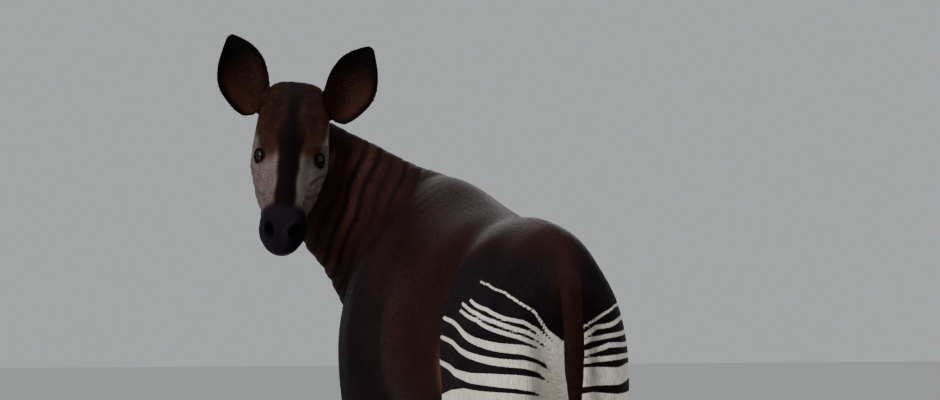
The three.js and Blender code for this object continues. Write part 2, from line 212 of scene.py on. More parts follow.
def loft(sections, sides, steps, inset=0.0):
    """A smooth body through sections (a, b, width, level, fullness towards a, fullness towards b)."""
    a = np.array([s[0] for s in sections], dtype=float)
    b = np.array([s[1] for s in sections], dtype=float)
    rest = np.array([s[2:6] for s in sections], dtype=float)
    t = np.linspace(0, 1, (len(sections) - 1) * steps + 1)
    pa, pb, shape = spline(a, t), spline(b, t), spline(rest, t)
    half = (pa - pb) / 2
    length = np.linalg.norm(half, axis=1, keepdims=True)
    half *= np.maximum(0.2, 1 - inset / length)
    ahead = spline(a, t + 0.01) + spline(b, t + 0.01)
    behind = spline(a, t - 0.01) + spline(b, t - 0.01)
    side = np.cross(half, ahead - behind)
    side /= np.linalg.norm(side, axis=1, keepdims=True)
    turn = np.linspace(0, 2 * math.pi, sides, endpoint=False)
    rings = []
    for i in range(len(t)):
        width, level, square_a, square_b = shape[i]
        width = max(width * 0.3, width - 2 * inset)
        power = np.where(np.cos(turn) >= 0, 2 / square_a, 2 / square_b)
        up = np.sign(np.cos(turn)) * np.abs(np.cos(turn)) ** power
        out = np.sign(np.sin(turn)) * np.abs(np.sin(turn)) ** power
        along = level + up * (1 - np.sign(up) * level)
        centre = (pa[i] + pb[i]) / 2
        rings.append(centre + np.outer(along, half[i]) + np.outer(out * width / 2, side[i]))
    return skin_over([placed(r) for r in rings])


# The body's sections, as in the solids
def trunk_sections():
    rows = [
        ((0, -622, 1270), (0, -615, 1150), 80, 0),
        ((0, -600, 1338), (0, -575, 1040), 205, -0.05),
        ((0, -530, CROUP - 26), (0, -505, 960), 296, -0.2),
        ((0, -415, CROUP - 5), (0, -400, 915), HIP_WIDTH - 30, -0.25),
        ((-5, -280, CROUP + 2), (-5, -260, 905), HIP_WIDTH + 12, -0.2),
        ((0, -160, CROUP + 2), (0, -150, 895), HIP_WIDTH - 40, -0.18),
        ((0, -40, CROUP + 20), (0, -40, BELLY + 8), BARREL_WIDTH - 42, -0.15),
        ((0, 90, CROUP + 50), (-10, 90, BELLY), BARREL_WIDTH, -0.15),
        ((-4, 240, WITHERS - 22), (-30, 240, BELLY - 2), BARREL_WIDTH - 35, -0.15),
        ((-10, 350, WITHERS - 4), (-66, 360, BELLY + 8), SHOULDER_WIDTH + 5, -0.1),
        ((-18, 430, WITHERS - 8), (-94, 480, BELLY + 45), SHOULDER_WIDTH - 45, -0.05),
        ((-42, 505, WITHERS - 95), (-120, 585, BELLY + 110), SHOULDER_WIDTH - 120, 0),
        ((-64, 560, WITHERS - 200), (-126, 634, BELLY + 200), 130, 0),
    ]
    return [(*row, 1.7 if i > 6 else 1.9, 2.2) for i, row in enumerate(rows)]


def neck_sections():
    rows = [
        ((0, 270, 1462), (-75, 560, 985), 262),
        ((-12, 395, WITHERS - 2), (-125, 650, 1100), 262),
        ((-52, 520, 1560), (-190, 684, 1200), 224),
        ((-125, 640, 1612), (-248, 684, 1290), 196),
        ((-218, 702, 1662), (-300, 716, 1368), 176),
        ((-284, 706, 1706), (-308, 742, 1470), 158),
        ((-314, 668, 1734), (-302, 718, 1572), 132),
    ]
    return [(*row, -0.1, 1.8, 2) for row in rows]


HIND_ROWS = [
    (1330, -330, -450, 70, 65, 60),
    (1250, -235, -575, 110, 78, 142),
    (1130, -185, -648, 130, 84, 168),
    (1000, -190, -655, 138, 88, 160),
    (STIFLE, -203, -618, 134, 96, 140),
    (800, -250, -574, 128, 104, 118),
    (705, -335, -565, 122, 110, 94),
    (625, -415, -602, 118, 113, 77),
    (HOCK, -470, -636, 115, 115, 75),
    (500, -492, -612, 114, 114, 67),
    (410, -506, -584, 114, 114, 52),
    (290, -510, -570, 114, 114, 46),
    (205, -505, -573, 114, 114, 53),
    (FETLOCK, -494, -577, 114, 114, 65),
    (118, -474, -546, 114, 114, 56),
    (80, -452, -540, 114, 114, 68),
    (54, -444, -536, 114, 114, 70),
]
FORE_ROWS = [
    (1400, 400, 320, 62, 58, 50),
    (1300, 480, 250, 100, 100, 110),
    (1160, 545, 205, 118, 128, 132),
    (1040, 528, 215, 124, 132, 128),
    (ELBOW, 465, 240, 126, 132, 112),
    (840, 425, 280, 126, 128, 95),
    (720, 408, 305, 124, 124, 79),
    (600, 404, 325, 122, 122, 68),
    (530, 412, 326, 121, 121, 74),
    (KNEE - 10, 414, 330, 120, 120, 74),
    (415, 400, 338, 120, 120, 56),
    (290, 396, 342, 120, 120, 46),
    (205, 399, 338, 120, 120, 52),
    (FETLOCK, 409, 332, 120, 120, 64),
    (118, 428, 358, 120, 120, 56),
    (80, 450, 364, 120, 120, 68),
    (54, 457, 370, 120, 120, 70),
]
LEGS = {
    "hind_left": (HIND_ROWS, -1, (0, 20)),
    "hind_right": (HIND_ROWS, 1, (-9, -20)),
    "fore_left": (FORE_ROWS, -1, (-82, 25)),
    "fore_right": (FORE_ROWS, 1, (-62, -20)),
}


def leg_sections(rows, sign, shift):
    sections = []
    for z, front, back, x_front, x_back, width in rows:
        ahead = (sign * x_front + shift[0], front + shift[1], z)
        behind = (sign * x_back + shift[0], back + shift[1], z)
        sections.append((ahead, behind, width, 0, 2.1, 2.1))
    return sections


TAIL_LINE = [
    (0, -540, 1305),
    (0, -610, 1295),
    (0, -655, 1248),
    (0, -672, 1170),
    (0, -679, 1080),
    (0, -682, TAIL_TOP - TAIL_LENGTH),
    (0, -681, TAIL_TOP - TAIL_LENGTH - TUFT_LENGTH * 0.48),
]
TAIL_WIDTHS = [66, 72, 68, 62, 54, 38, 16]


def tail_sections():
    t = np.linspace(0, 1, len(TAIL_LINE))
    along = spline(TAIL_LINE, t + 0.01) - spline(TAIL_LINE, t - 0.01)
    sections = []
    for p, d, width in zip(np.array(TAIL_LINE, dtype=float), along, TAIL_WIDTHS):
        back = np.cross(d, (1, 0, 0))
        back *= width * 0.38 / np.linalg.norm(back)
        sections.append((p + back, p - back, width, 0, 2, 2))
    return sections


def skull_sections():
    rows = [
        (-62, -62, -118, 48, 0),
        (-38, -18, -165, 138, 0.1),
        (8, -3, -200, 170, 0.3),
        (58, 8, -218, 180, 0.3),
        (112, 11, -216, 188, 0.25),
        (158, 4, -202, 189, 0.2),
        (205, -7, -184, 174, 0.1),
        (250, -14, -164, 153, -0.05),
        (296, -18, -147, 130, -0.1),
        (338, -22, -134, 114, -0.05),
        (380, -27, -130, 112, -0.05),
        (HEAD_LENGTH - 40, -36, -127, 98, 0),
        (HEAD_LENGTH - 14, -52, -115, 66, 0),
        (HEAD_LENGTH - 2, -70, -101, 30, 0),
    ]
    sections = []
    for y, top, bottom, width, level in rows:
        fullness = 3.2 if y < 80 else 2.7 if y < 170 else 2.3
        sections.append((on_head(0, y, top), on_head(0, y, bottom), width, level, fullness, 2.2))
    return sections


def egg(at, rx, ry, rz, tilt=0.0):
    """A ball stretched along the head's own axes, and turned by tilt about its forward axis."""
    rings = []
    for v in np.linspace(0, math.pi, 26)[1:-1]:
        u = np.linspace(0, 2 * math.pi, 40, endpoint=False)
        x, y, z = rx * np.sin(v) * np.cos(u), ry * np.sin(v) * np.sin(u), np.full(40, rz * np.cos(v))
        x, z = x * math.cos(tilt) + z * math.sin(tilt), z * math.cos(tilt) - x * math.sin(tilt)
        rings.append(placed(np.array(at) + np.stack([x, y, z], 1) @ HEAD_AXES))
    return skin_over(rings)


def eye_axes(side):
    """The way an eye looks, the way up across its lids, and the way to its corner."""
    along = eye_gaze(side)
    level = Vector(HEAD_AXES[1]) - Vector(HEAD_AXES[2]) * 0.12
    up = level.cross(along).normalized()
    if up.dot(head_up) < 0:
        up.negate()
    return along, up, along.cross(up).normalized()


def lid_opening(side):
    """The almond space between the lids, from inside the eyeball outwards."""
    along, up, corner = (np.array(v) for v in eye_axes(side))
    turn = np.linspace(0, 2 * math.pi, 64, endpoint=False)
    high = np.sin(turn)
    height = high * np.where(high > 0, UPPER_LID, LOWER_LID) * np.abs(high) ** 0.25
    rim = np.outer(np.cos(turn) * EYE_CORNER, corner) + np.outer(height, up)
    return skin_over([placed(np.array(eye_at(side)) + rim + along * d) for d in (2, 50)])


EAR_ROWS = [
    (-0.145, 42, -36, 3),
    (-0.09, 64, -6, 18),
    (0.02, 76, 22, 36),
    (0.16, 83, 34, 46),
    (0.35, 87, 45, 50),
    (0.52, 81, 48, 47),
    (0.7, 62, 42, 36),
    (0.86, 35, 26, 20),
    (1, 7, 6, 6),
]


def ear_frame(side):
    lean = math.radians(EAR_LEAN)
    axis = head_up * math.cos(lean) + head_right * (side * math.sin(lean))
    outwards = head_right * (side * math.cos(lean)) - head_up * math.sin(lean)
    return on_head(side * 81, 5, -40), outwards, axis


def ear_parts(side):
    """The shell of an ear, the space in its cup, and its root."""
    base, outwards, axis = ear_frame(side)
    stations, across, thick = 56, 44, 4.2
    t = np.linspace(0, 1, stations + 1)
    profile = spline(EAR_ROWS, t)
    turn = math.pi * (np.linspace(0, 1, across + 1) - 0.5)

    def place(out, tall, forward):
        return np.array(base + outwards * out + axis * tall + gaze * forward)

    def row(i, inset, flat=None):
        height, out, inn, depth = profile[i]
        reach = (out + inn) / 2 * np.sin(turn)
        reach = reach * (1 - (inset + 1.0) / (np.abs(reach) + 34))
        hollow = -depth * np.cos(turn) + 0.7 + inset * (0.35 + 0.65 * np.cos(turn))
        depths = hollow if flat is None else np.full(len(hollow), flat)
        return np.array([
            place((out - inn) / 2 + r, height * EAR_LENGTH, h) for r, h in zip(reach, depths)
        ])

    rows = range(stations + 1)
    shell = skin_over([placed(np.vstack([row(i, 0), row(i, thick)[::-1]])) for i in rows])
    cup = skin_over([placed(np.vstack([row(i, thick / 2), row(i, 0, 60)[::-1]])) for i in rows])
    root = loft(
        [
            (on_head(side * 36, 55, -50), on_head(side * 30, -15, -100), 70, 0, 2, 2),
            (place(-6, -22, 2), place(-2, -30, -62), 64, 0, 2, 2),
            (place(20, 12, -18), place(20, 6, -60), 50, 0, 2, 2),
            (place(26, 40, -38), place(26, 38, -56), 22, 0, 2, 2),
        ],
        48,
        8,
        1.0,
    )
    return shell, cup, root


# Smoothing and relief over the vertices of the skin
def vertices_of(mesh):
    points = np.empty(len(mesh.vertices) * 3)
    mesh.vertices.foreach_get("co", points)
    return points.reshape(-1, 3)


def normals_of(mesh):
    normals = np.empty(len(mesh.vertices) * 3)
    mesh.vertices.foreach_get("normal", normals)
    return normals.reshape(-1, 3)


def edges_of(mesh):
    edges = np.empty(len(mesh.edges) * 2, dtype=np.int32)
    mesh.edges.foreach_get("vertices", edges)
    return edges.reshape(-1, 2)


def relaxed(values, edges, weight, rounds):
    """Each value moves towards its neighbours' mean, by its own weight."""
    n = len(values)
    a, b = edges[:, 0], edges[:, 1]
    degree = np.maximum(1, np.bincount(edges.ravel(), minlength=n))
    for _ in range(rounds):
        mean = np.stack([
            np.bincount(a, values[b, k], n) + np.bincount(b, values[a, k], n) for k in range(values.shape[1])
        ], 1)
        values = values + (mean / degree[:, None] - values) * weight[:, None]
    return values


def smoothstep(low_end, high_end, x):
    t = np.clip((x - low_end) / (high_end - low_end), 0, 1)
    return t * t * (3 - 2 * t)


def near(points, centre, radii):
    return np.exp(-(((points - np.array(centre)) / np.array(radii)) ** 2).sum(1))


def bell(distance, width):
    """1 at no distance, falling away over the width."""
    return np.exp(-((distance / width) ** 2))


def between(value, low_end, high_end):
    return (value > low_end) & (value < high_end)


def line_distance(points, line):
    best = np.full(len(points), 1e9)
    line = np.asarray(line, dtype=float)
    for p, q in zip(line[:-1], line[1:]):
        d = q - p
        t = np.clip(((points - p) @ d) / (d @ d), 0, 1)
        best = np.minimum(best, np.linalg.norm(points - (p + t[:, None] * d), axis=1))
    return best


# Places where one form runs into the next, in millimetres: middle and radii
SOFT_PLACES = [
    ((-100, -400, 1290), (120, 260, 130)),
    ((100, -420, 1290), (120, 260, 130)),
    ((-110, -190, 1060), (110, 110, 190)),
    ((105, -210, 1060), (110, 110, 190)),
    ((0, -420, 930), (90, 240, 90)),
    ((-150, 400, 1310), (130, 220, 170)),
    ((40, 380, 1310), (130, 220, 170)),
    ((-190, 240, 1050), (90, 90, 180)),
    ((70, 200, 1050), (90, 90, 180)),
    ((-190, 520, 1120), (120, 120, 190)),
    ((30, 500, 1120), (120, 140, 190)),
    ((-60, 560, 1330), (190, 160, 220)),
    ((-60, 380, 900), (110, 170, 80)),
    ((0, -590, 1300), (80, 60, 70)),
]
HEAD_SOFT = [
    ((0, -30, -110), (110, 50, 130)),
    ((0, 60, -215), (90, 90, 45)),
    ((66, 20, -55), (34, 34, 40)),
    ((-66, 20, -55), (34, 34, 40)),
]

# Forms raised or sunk on the body, in millimetres: middle, radii, height
BODY_FORMS = [
    ((-125, -330, 1345), (50, 60, 50), 9),
    ((118, -350, 1345), (50, 60, 50), 9),
    ((-215, -120, 1150), (70, 75, 150), -12),
    ((215, -130, 1150), (70, 75, 150), -12),
    ((-190, -210, 960), (60, 60, 60), 8),
    ((190, -225, 960), (60, 60, 60), 8),
    ((-240, 330, 1230), (80, 45, 190), 9),
    ((150, 300, 1230), (80, 45, 190), 9),
    ((-60, -600, 1080), (30, 60, 200), -7),
    ((60, -620, 1080), (30, 60, 200), -7),
    ((0, -420, 1430), (22, 190, 40), 6),
    ((-246, 220, 1120), (50, 30, 150), -9),
    ((160, 190, 1120), (50, 30, 150), -9),
]
# The same on the head, in its own frame, for both sides
HEAD_FORMS = [
    ((25, 84, 10), (12, 15, 14), 5.0),
    ((76, 160, -22), (20, 30, 20), 8.5),
    ((92, 190, -80), (18, 30, 14), 5.0),
    ((56, 226, -28), (18, 34, 24), -6.0),
    ((78, 262, -88), (16, 60, 16), 4.5),
    ((82, 112, -128), (24, 60, 40), 6.0),
    ((52, 316, -62), (16, 34, 30), -5.0),
    ((36, 396, -34), (12, 18, 14), 5.0),
    ((0, 428, -50), (7, 14, 16), -2.0),
    ((0, 404, -30), (8, 18, 12), -1.5),
    ((0, 270, -14), (16, 110, 16), 3.5),
    ((44, 376, -84), (18, 30, 16), 4.0),
    ((24, 408, -116), (24, 26, 10), 2.0),
    ((60, 110, 0), (18, 30, 22), -4.5),
    ((0, 120, 12), (16, 50, 14), 2.5),
]
# Creases of the face for both sides, as (along, out) in its own frame: line, width, depth
HEAD_CREASES = [
    (((196, -84), (220, -66), (246, -52), (262, -46)), 4.2, 2.4),
    (((236, -98), (262, -86), (290, -62), (300, -50)), 5.0, 2.2),
    (((262, -124), (296, -108), (318, -92)), 5.0, 1.6),
    (((150, -50), (160, -26), (180, -12)), 4.0, 1.8),
    (((318, -50), (340, -80), (352, -112)), 5.0, 3.0),
]
# Lines on the head's right side, in its own frame
MOUTH_LINE = ((54, 330, -112), (54, 356, -110), (47, 392, -103), (28, 422, -92), (0, 438, -84))
NOSTRIL_LINE = (
    (34, HEAD_LENGTH - 47, -42),
    (27, HEAD_LENGTH - 38, -50),
    (19, HEAD_LENGTH - 30, -60),
)


def neck_place(points):
    """How far along the neck's middle line each point is, and its distance from that line."""
    t = np.linspace(0, 1, 60)
    rows = neck_sections()
    line = (spline([r[0] for r in rows], t) + spline([r[1] for r in rows], t)) / 2
    best = np.full(len(points), 1e9)
    at = np.zeros(len(points))
    start = 0.0
    for p, q in zip(line[:-1], line[1:]):
        step = np.linalg.norm(q - p)
        along = np.clip((points - p) @ (q - p) / step, 0, step)
        d = np.linalg.norm(points - (p + np.outer(along / step, q - p)), axis=1)
        closer = d < best
        best[closer] = d[closer]
        at[closer] = (start + along)[closer]
        start += step
    return at, best


def make_skin():
    body = joined("skin", [
        loft(trunk_sections(), 90, 8, COAT_DEPTH),
        loft(neck_sections(), 72, 10, COAT_DEPTH),
        loft(tail_sections(), 32, 8, COAT_DEPTH),
        *[loft(leg_sections(*LEGS[name]), 44, 8, COAT_DEPTH * 0.7) for name in LEGS],
    ])
    applied(body, "REMESH", mode="VOXEL", voxel_size=BODY_VOXEL, adaptivity=0)
    ears = [ear_parts(side) for side in (-1, 1)]
    lids = [egg(eye_at(side), *[EYE_RADIUS + LID_THICKNESS - 0.8] * 3) for side in (-1, 1)]
    head = joined("head", [loft(skull_sections(), 120, 10, 1.6), *lids, *[e[2] for e in ears]])
    applied(head, "REMESH", mode="VOXEL", voxel_size=HEAD_VOXEL, adaptivity=0)
    for n, side in enumerate((-1, 1)):
        combined(head, mesh_object("cut", *egg(eye_at(side), *[EYE_RADIUS + 0.2] * 3)), "DIFFERENCE")
        combined(head, mesh_object("cut", *lid_opening(side)), "DIFFERENCE")
        for t in np.linspace(0, 1, 7):
            place = on_head(side * (33 - 14 * t), HEAD_LENGTH - 45 + 20 * t - 5 * t * t, -38 - 20 * t * t)
            size = 9.5 - 5.0 * t
            combined(head, mesh_object("cut", *egg(place, size, size, size * 1.8)), "DIFFERENCE")
        combined(head, mesh_object("cut", *ears[n][1]), "DIFFERENCE")
        combined(head, mesh_object("add", *ears[n][0]), "UNION")
    combined(body, head, "UNION")
    return body


def set_points(mesh, points):
    mesh.vertices.foreach_set("co", placed(points).ravel())
    mesh.update()


def set_smooth(mesh, smooth):
    mesh.polygons.foreach_set("use_smooth", np.full(len(mesh.polygons), smooth))


def folded(head):
    """Places in the head's frame, with its left side laid over its right."""
    return np.stack([np.abs(head[:, 0]), head[:, 1], head[:, 2]], 1)


def crease_distance(place, line):
    return line_distance(place[:, 1:], line) + np.maximum(0, 42 - place[:, 0])


def shape_skin(skin):
    """Runs the joined forms into one another, then raises the folds, creases and lids."""
    mesh = skin.data
    edges = edges_of(mesh)
    points = design(vertices_of(mesh))
    place = head_place(placed(points))
    off_ear = 1 - ear_amount(placed(points))
    on_face = smoothstep(-45, -20, place[:, 1]) * smoothstep(-245, -225, place[:, 2])
    on_face *= np.abs(place[:, 0]) < 130
    on_face *= smoothstep(-245, -215, place[:, 2] + np.minimum(0, place[:, 1] - 60) * 0.5)
    on_body = 1 - on_face
    soft = np.full(len(points), 0.02)
    for centre, radii in SOFT_PLACES:
        soft = np.maximum(soft, near(points, centre, np.array(radii) * 1.1))
    points = relaxed(points, edges, soft * on_body * 0.9, 90)
    for centre, radii in HEAD_SOFT:
        points = relaxed(points, edges, near(place, centre, radii) * 0.7 * off_ear, 14)
    points = relaxed(points, edges, 0.5 * on_body, 4)
    set_points(mesh, points)

    normals = normals_of(mesh)
    rise = neck_folds(points, normals) * on_body * off_ear
    for centre, radii, height in BODY_FORMS:
        rise += height * near(points, centre, radii) * on_body
    place = folded(place)
    face = on_face * off_ear
    eye = eye_distance(points)
    open_face = face * smoothstep(22, 31, eye)
    for centre, radii, height in HEAD_FORMS:
        rise += height * near(place, centre, radii) * open_face
    for line, width, depth in HEAD_CREASES:
        d = crease_distance(place, line)
        rise += open_face * depth * (0.5 * bell(d - 2.2 * width, width) - bell(d, width))
    face *= eye >= 24.5
    lips = line_distance(place, MOUTH_LINE)
    rise += face * (1.8 * bell(lips - 7, 4) - 3.6 * bell(lips, 2.2))
    nostril = np.linalg.norm((place - (27, HEAD_LENGTH - 37, -46)) / (1.0, 1.15, 1.3), axis=1)
    rise += face * 3.0 * bell(nostril - 15, 4.5) * (place[:, 1] < HEAD_LENGTH - 8)
    rise -= face * 1.4 * bell(eye - 27, 2.2)
    set_points(mesh, points + normals * rise[:, None])
    set_smooth(mesh, True)


def eye_distance(points):
    return np.min([np.linalg.norm(points - np.array(eye_at(s)), axis=1) for s in (-1, 1)], axis=0)


def ear_place(points, side):
    """Where design places lie from an ear's base, and how far out, up and forward."""
    base, outwards, axis = ear_frame(side)
    away = points - np.array(base)
    return away, away @ np.array(outwards), away @ np.array(axis), away @ np.array(gaze)


def ear_edge(out, tall):
    """How far inside the ear's rim each place is."""
    height, outer, inner = np.array(EAR_ROWS)[:, :3].T
    return np.minimum(
        np.interp(tall / EAR_LENGTH, height, outer) - out,
        out + np.interp(tall / EAR_LENGTH, height, inner),
    )


def ear_amount(points):
    """1 on the ears' shells, 0 elsewhere."""
    amount = np.zeros(len(points))
    for side in (-1, 1):
        _, out, tall, forward = ear_place(design(points), side)
        inside = between(out, -46, 96) & between(tall, -28, 200) & between(forward, -54, 12)
        amount = np.maximum(amount, inside * smoothstep(2, 14, out + np.maximum(0, tall - 12) * 0.9))
    return amount


def fold_wave(phase):
    """Broad rounded folds with narrow creases between them, from -1 in a crease to about 0.4."""
    away = np.abs((phase + 0.5) % 1 - 0.5) * 2
    return 0.4 - 1.4 * bell(away, 0.3)


def neck_folds(points, normals):
    """Creases that hang across the neck, deepest on its hollow left side, and fade over the shoulder."""
    at, distance = neck_place(points)
    facing = smoothstep(-0.1, 0.8, normals @ np.array([-0.6, -0.8, 0.0]))
    across = points @ np.array(CAMERA_RIGHT) + 470
    high = points[:, 2] - 1500
    wobble = 5 * np.sin(points[:, 2] * 0.016 + 1.3) + 3 * np.sin(points[:, 2] * 0.041 + across * 0.02)
    phase = (across * 0.94 - high * (0.30 + 0.0007 * across) + wobble) / 37
    reach = smoothstep(20, 130, at) * smoothstep(250, 200, distance)
    depth = 0.75 + 0.25 * np.sin(phase * 2.1 + 0.6)
    neck = 6.0 * depth * fold_wave(phase) * reach * facing
    right = 0.8 * fold_wave(at / 48) * reach * (1 - facing) * smoothstep(120, 220, at)
    side = smoothstep(0.3, 0.8, normals @ np.array([-0.95, -0.2, 0.1]))
    over = bell(points[:, 1] - 330, 120) * bell(points[:, 2] - 1350, 130)
    shoulder = 2.0 * fold_wave((points[:, 1] * 0.8 + points[:, 2] * 0.5) / 52) * over * side
    return neck + right + shoulder * (1 - reach)


# Colours, as linear red, green and blue
NEAR_BLACK = (0.0045, 0.0032, 0.0038)
CHESTNUT = (0.020, 0.0072, 0.0052)
BACK = (0.0120, 0.0050, 0.0045)
BLUE_BLACK = (0.0058, 0.0042, 0.0060)
RED_BROWN = (0.024, 0.0088, 0.0058)
CHEEK = (0.095, 0.074, 0.072)
CHEEK_DARK = (0.040, 0.027, 0.026)
MUZZLE = (0.0072, 0.0048, 0.0082)
BRIDGE = (0.0026, 0.0018, 0.0024)
TAN = (0.085, 0.043, 0.024)
EAR_INSIDE = (0.030, 0.0105, 0.0070)
TAIL_BROWN = (0.0150, 0.0060, 0.0046)
LIP_SEAM_SHADE = (0.0025, 0.0018, 0.0020)
LID_BLACK = (0.0022, 0.0016, 0.0017)
NOSTRIL_SHADE = (0.0012, 0.0009, 0.001)
EYE_WHITE = (0.012, 0.008, 0.008)
IRIS = (0.016, 0.009, 0.006)
PUPIL = (0.002, 0.002, 0.003)

# White stripes on each haunch: widths in front and at the tail, then places as (degrees round the
# thigh from straight behind, height)
LEFT_STRIPES = [
    (2, 4, ((60, 1275), (28, 1268), (7, 1251), (-2, 1228), (-10, 1208), (-17, 1165))),
    (5, 7, ((75, 1232), (25, 1212), (8, 1193), (-3, 1185), (-11, 1168), (-20, 1135))),
    (5, 8, ((112, 1224), (41, 1202), (16, 1185), (5, 1173), (-4, 1163), (-16, 1141), (-24, 1118))),
    (5, 8, ((112, 1208), (40, 1187), (14, 1165), (2, 1153), (-10, 1136), (-23, 1108))),
    (6, 21, ((146, 1190), (78, 1156), (30, 1137), (14, 1129), (-1, 1124), (-18, 1105), (-25, 1085))),
    (7, 17, ((144, 1146), (89, 1120), (35, 1104), (14, 1096), (-1, 1092), (-11, 1082), (-24, 1062))),
    (9, 32, ((150, 1090), (105, 1068), (47, 1058), (19, 1056), (3, 1053), (-7, 1047), (-25, 1030))),
    (22, 30, ((148, 1004), (122, 1014), (68, 1020), (6, 1012), (-20, 1000))),
]
RIGHT_STRIPES = [
    (3, 4, ((60, 1240), (5, 1221), (-5, 1204), (-17, 1174))),
    (5, 8, ((80, 1222), (7, 1192), (-3, 1178), (-10, 1174), (-20, 1144))),
    (5, 8, ((115, 1196), (8, 1161), (-4, 1155), (-13, 1147), (-20, 1134))),
    (6, 9, ((120, 1168), (7, 1135), (-4, 1135), (-8, 1128), (-14, 1119), (-20, 1112))),
    (6, 10, ((144, 1140), (60, 1118), (5, 1110), (-4, 1106), (-10, 1103), (-22, 1095))),
    (7, 40, ((148, 1090), (60, 1082), (9, 1076), (0, 1066), (-10, 1066), (-22, 1060))),
    (22, 26, ((148, 1020), (60, 1020), (10, 1016), (0, 1012), (-12, 1016), (-24, 1004))),
]
# Further down the thigh, the same on both sides: height and width
LOWER_STRIPES = [(966, 16), (926, 15), (884, 17), (842, 14), (800, 15), (758, 12), (718, 11), (682, 9)]
# On the forelegs: height and width
FORE_STRIPES = [(905, 9), (872, 12), (838, 12), (804, 13), (768, 12), (728, 11)]


# What stands for a place nowhere near a white marking, in millimetres
FAR_OUTSIDE = -30.0


def leg_place(points, name):
    """Where places lie from a leg's middle, across and along the body, and its half width and depth."""
    rows, sign, shift = LEGS[name]
    table = np.array(rows, dtype=float)[::-1].T
    front, back, x_front, x_back, width = (np.interp(points[:, 2], table[0], column) for column in table[1:])
    x = sign * (x_front + x_back) / 2 + shift[0]
    dy = points[:, 1] - ((front + shift[1]) + (back + shift[1])) / 2
    return (points[:, 0] - x) * sign, dy, width / 2, (front - back) / 2


def haunch_white(points, sign, stripes):
    """How far inside a haunch's stripes, or the pale band beside the tail, each place is."""
    x, y, z = points.T
    dx, dy = x - sign * 105, y + 400
    angle = np.degrees(np.arctan2(sign * dx, -dy))
    per_degree = np.hypot(dx, dy) * math.pi / 180
    best = np.full(len(points), FAR_OUTSIDE)
    for in_front, behind, places in stripes:
        at = np.array(sorted(places), dtype=float)
        turns, heights = np.vstack([at[0] - (14, 60), at]).T
        middle = np.interp(angle, turns, heights)
        rise = np.interp(angle + 1, turns, heights) - np.interp(angle - 1, turns, heights)
        steep = np.hypot(1, rise / 2 / per_degree)
        widths = (behind + 16, behind, (in_front + behind) / 2, in_front)
        width = np.interp(angle, (turns[0], turns[1], 40, turns[-1]), widths)
        end = np.minimum(0, turns[-1] - angle) * 0.5 + np.minimum(0, angle + 62) * 0.5
        best = np.maximum(best, width / 2 - np.abs(z - middle) * 0.93 / steep + end)
    for n, (height, width) in enumerate(LOWER_STRIPES):
        wave = 7 * np.sin(np.radians(angle * 1.4 + 60 * n)) + 0.10 * np.abs(angle)
        taper = width / 2 * (1 - 0.45 * smoothstep(50, 150, angle)) - np.maximum(0, angle - 150) * 0.4
        best = np.maximum(best, taper - np.abs(z - height - wave) * 0.93)
    start = np.interp(z, (900, 1020, 1085, 1190), (-33, -29, -24, -19))
    band = (start - angle) * 2.4 - np.maximum(0, z - 1120) * 0.5 - np.maximum(0, 900 - z) * 0.5
    band = np.minimum(band, (angle - start + 24) * 1.6)
    best = np.maximum(best, np.minimum(band, 20))
    own = (sign * x > -4) & (y < -175) & between(z, 640, 1300)
    return np.where(own, best, FAR_OUTSIDE)


def leg_white(points, name):
    """How far inside the markings of a lower leg each place is."""
    z = points[:, 2]
    dx, dy, half, depth = leg_place(points, name)
    around = np.degrees(np.arctan2(dx / half, dy / depth))
    forward = np.cos(np.radians(around))
    ragged = 3 * np.sin(np.radians(around * 3 + half)) + 2 * np.sin(np.radians(around * 7))
    own = (np.abs(dx) < half * 1.5 + 6) & (np.abs(dy) < depth * 1.4 + 6)
    if name.startswith("hind"):
        own &= z < 640
        cannon = np.minimum(z - 208 + ragged, 512 - z + 22 * forward + ragged)
        best = np.minimum(cannon, np.abs(around) / 2 - 4 - 0.02 * np.maximum(0, 380 - z))
    else:
        own &= (z < 915) & (np.abs(dx) < half * 1.2 + 4)
        cannon = np.minimum(z - 206 + ragged, 432 - z - 12 * forward - ragged)
        best = np.minimum(cannon, np.abs(around) / 2 - 7)
        for n, (height, width) in enumerate(FORE_STRIPES):
            wave = 6 * np.sin(np.radians(around * 1.3 + 70 * n))
            taper = width / 2 * (0.3 + 0.7 * smoothstep(20, 110, np.abs(around)))
            best = np.maximum(best, taper - np.abs(z - height - wave))
    pastern = np.minimum(z - 74, 128 - z + ragged)
    best = np.maximum(best, np.minimum(pastern, np.abs(around) / 90 * 40 - 16))
    return np.where(own, best, FAR_OUTSIDE)


def white_distance(points):
    """How far inside a white marking each point lies, in millimetres; less than 0 is outside."""
    x, y, z = points.T
    marks = [haunch_white(points, -1, LEFT_STRIPES), haunch_white(points, 1, RIGHT_STRIPES)]
    marks += [leg_white(points, name) for name in LEGS]
    on_tail = (np.abs(x) < np.interp(z, (935, 1240), (24, 40))) & (y < -640)
    return np.where(on_tail, FAR_OUTSIDE, np.clip(np.max(marks, 0), FAR_OUTSIDE, -FAR_OUTSIDE))


def mix(colour, other, amount):
    return colour + (np.array(other) - colour) * np.clip(amount, 0, 1)[:, None]


def painted(base, count, layers):
    """A base colour at each of so many places, with each tint laid over it by its own amount."""
    colour = np.broadcast_to(np.array(base), (count, 3))
    for tint, amount in layers:
        colour = mix(colour, tint, amount)
    return colour


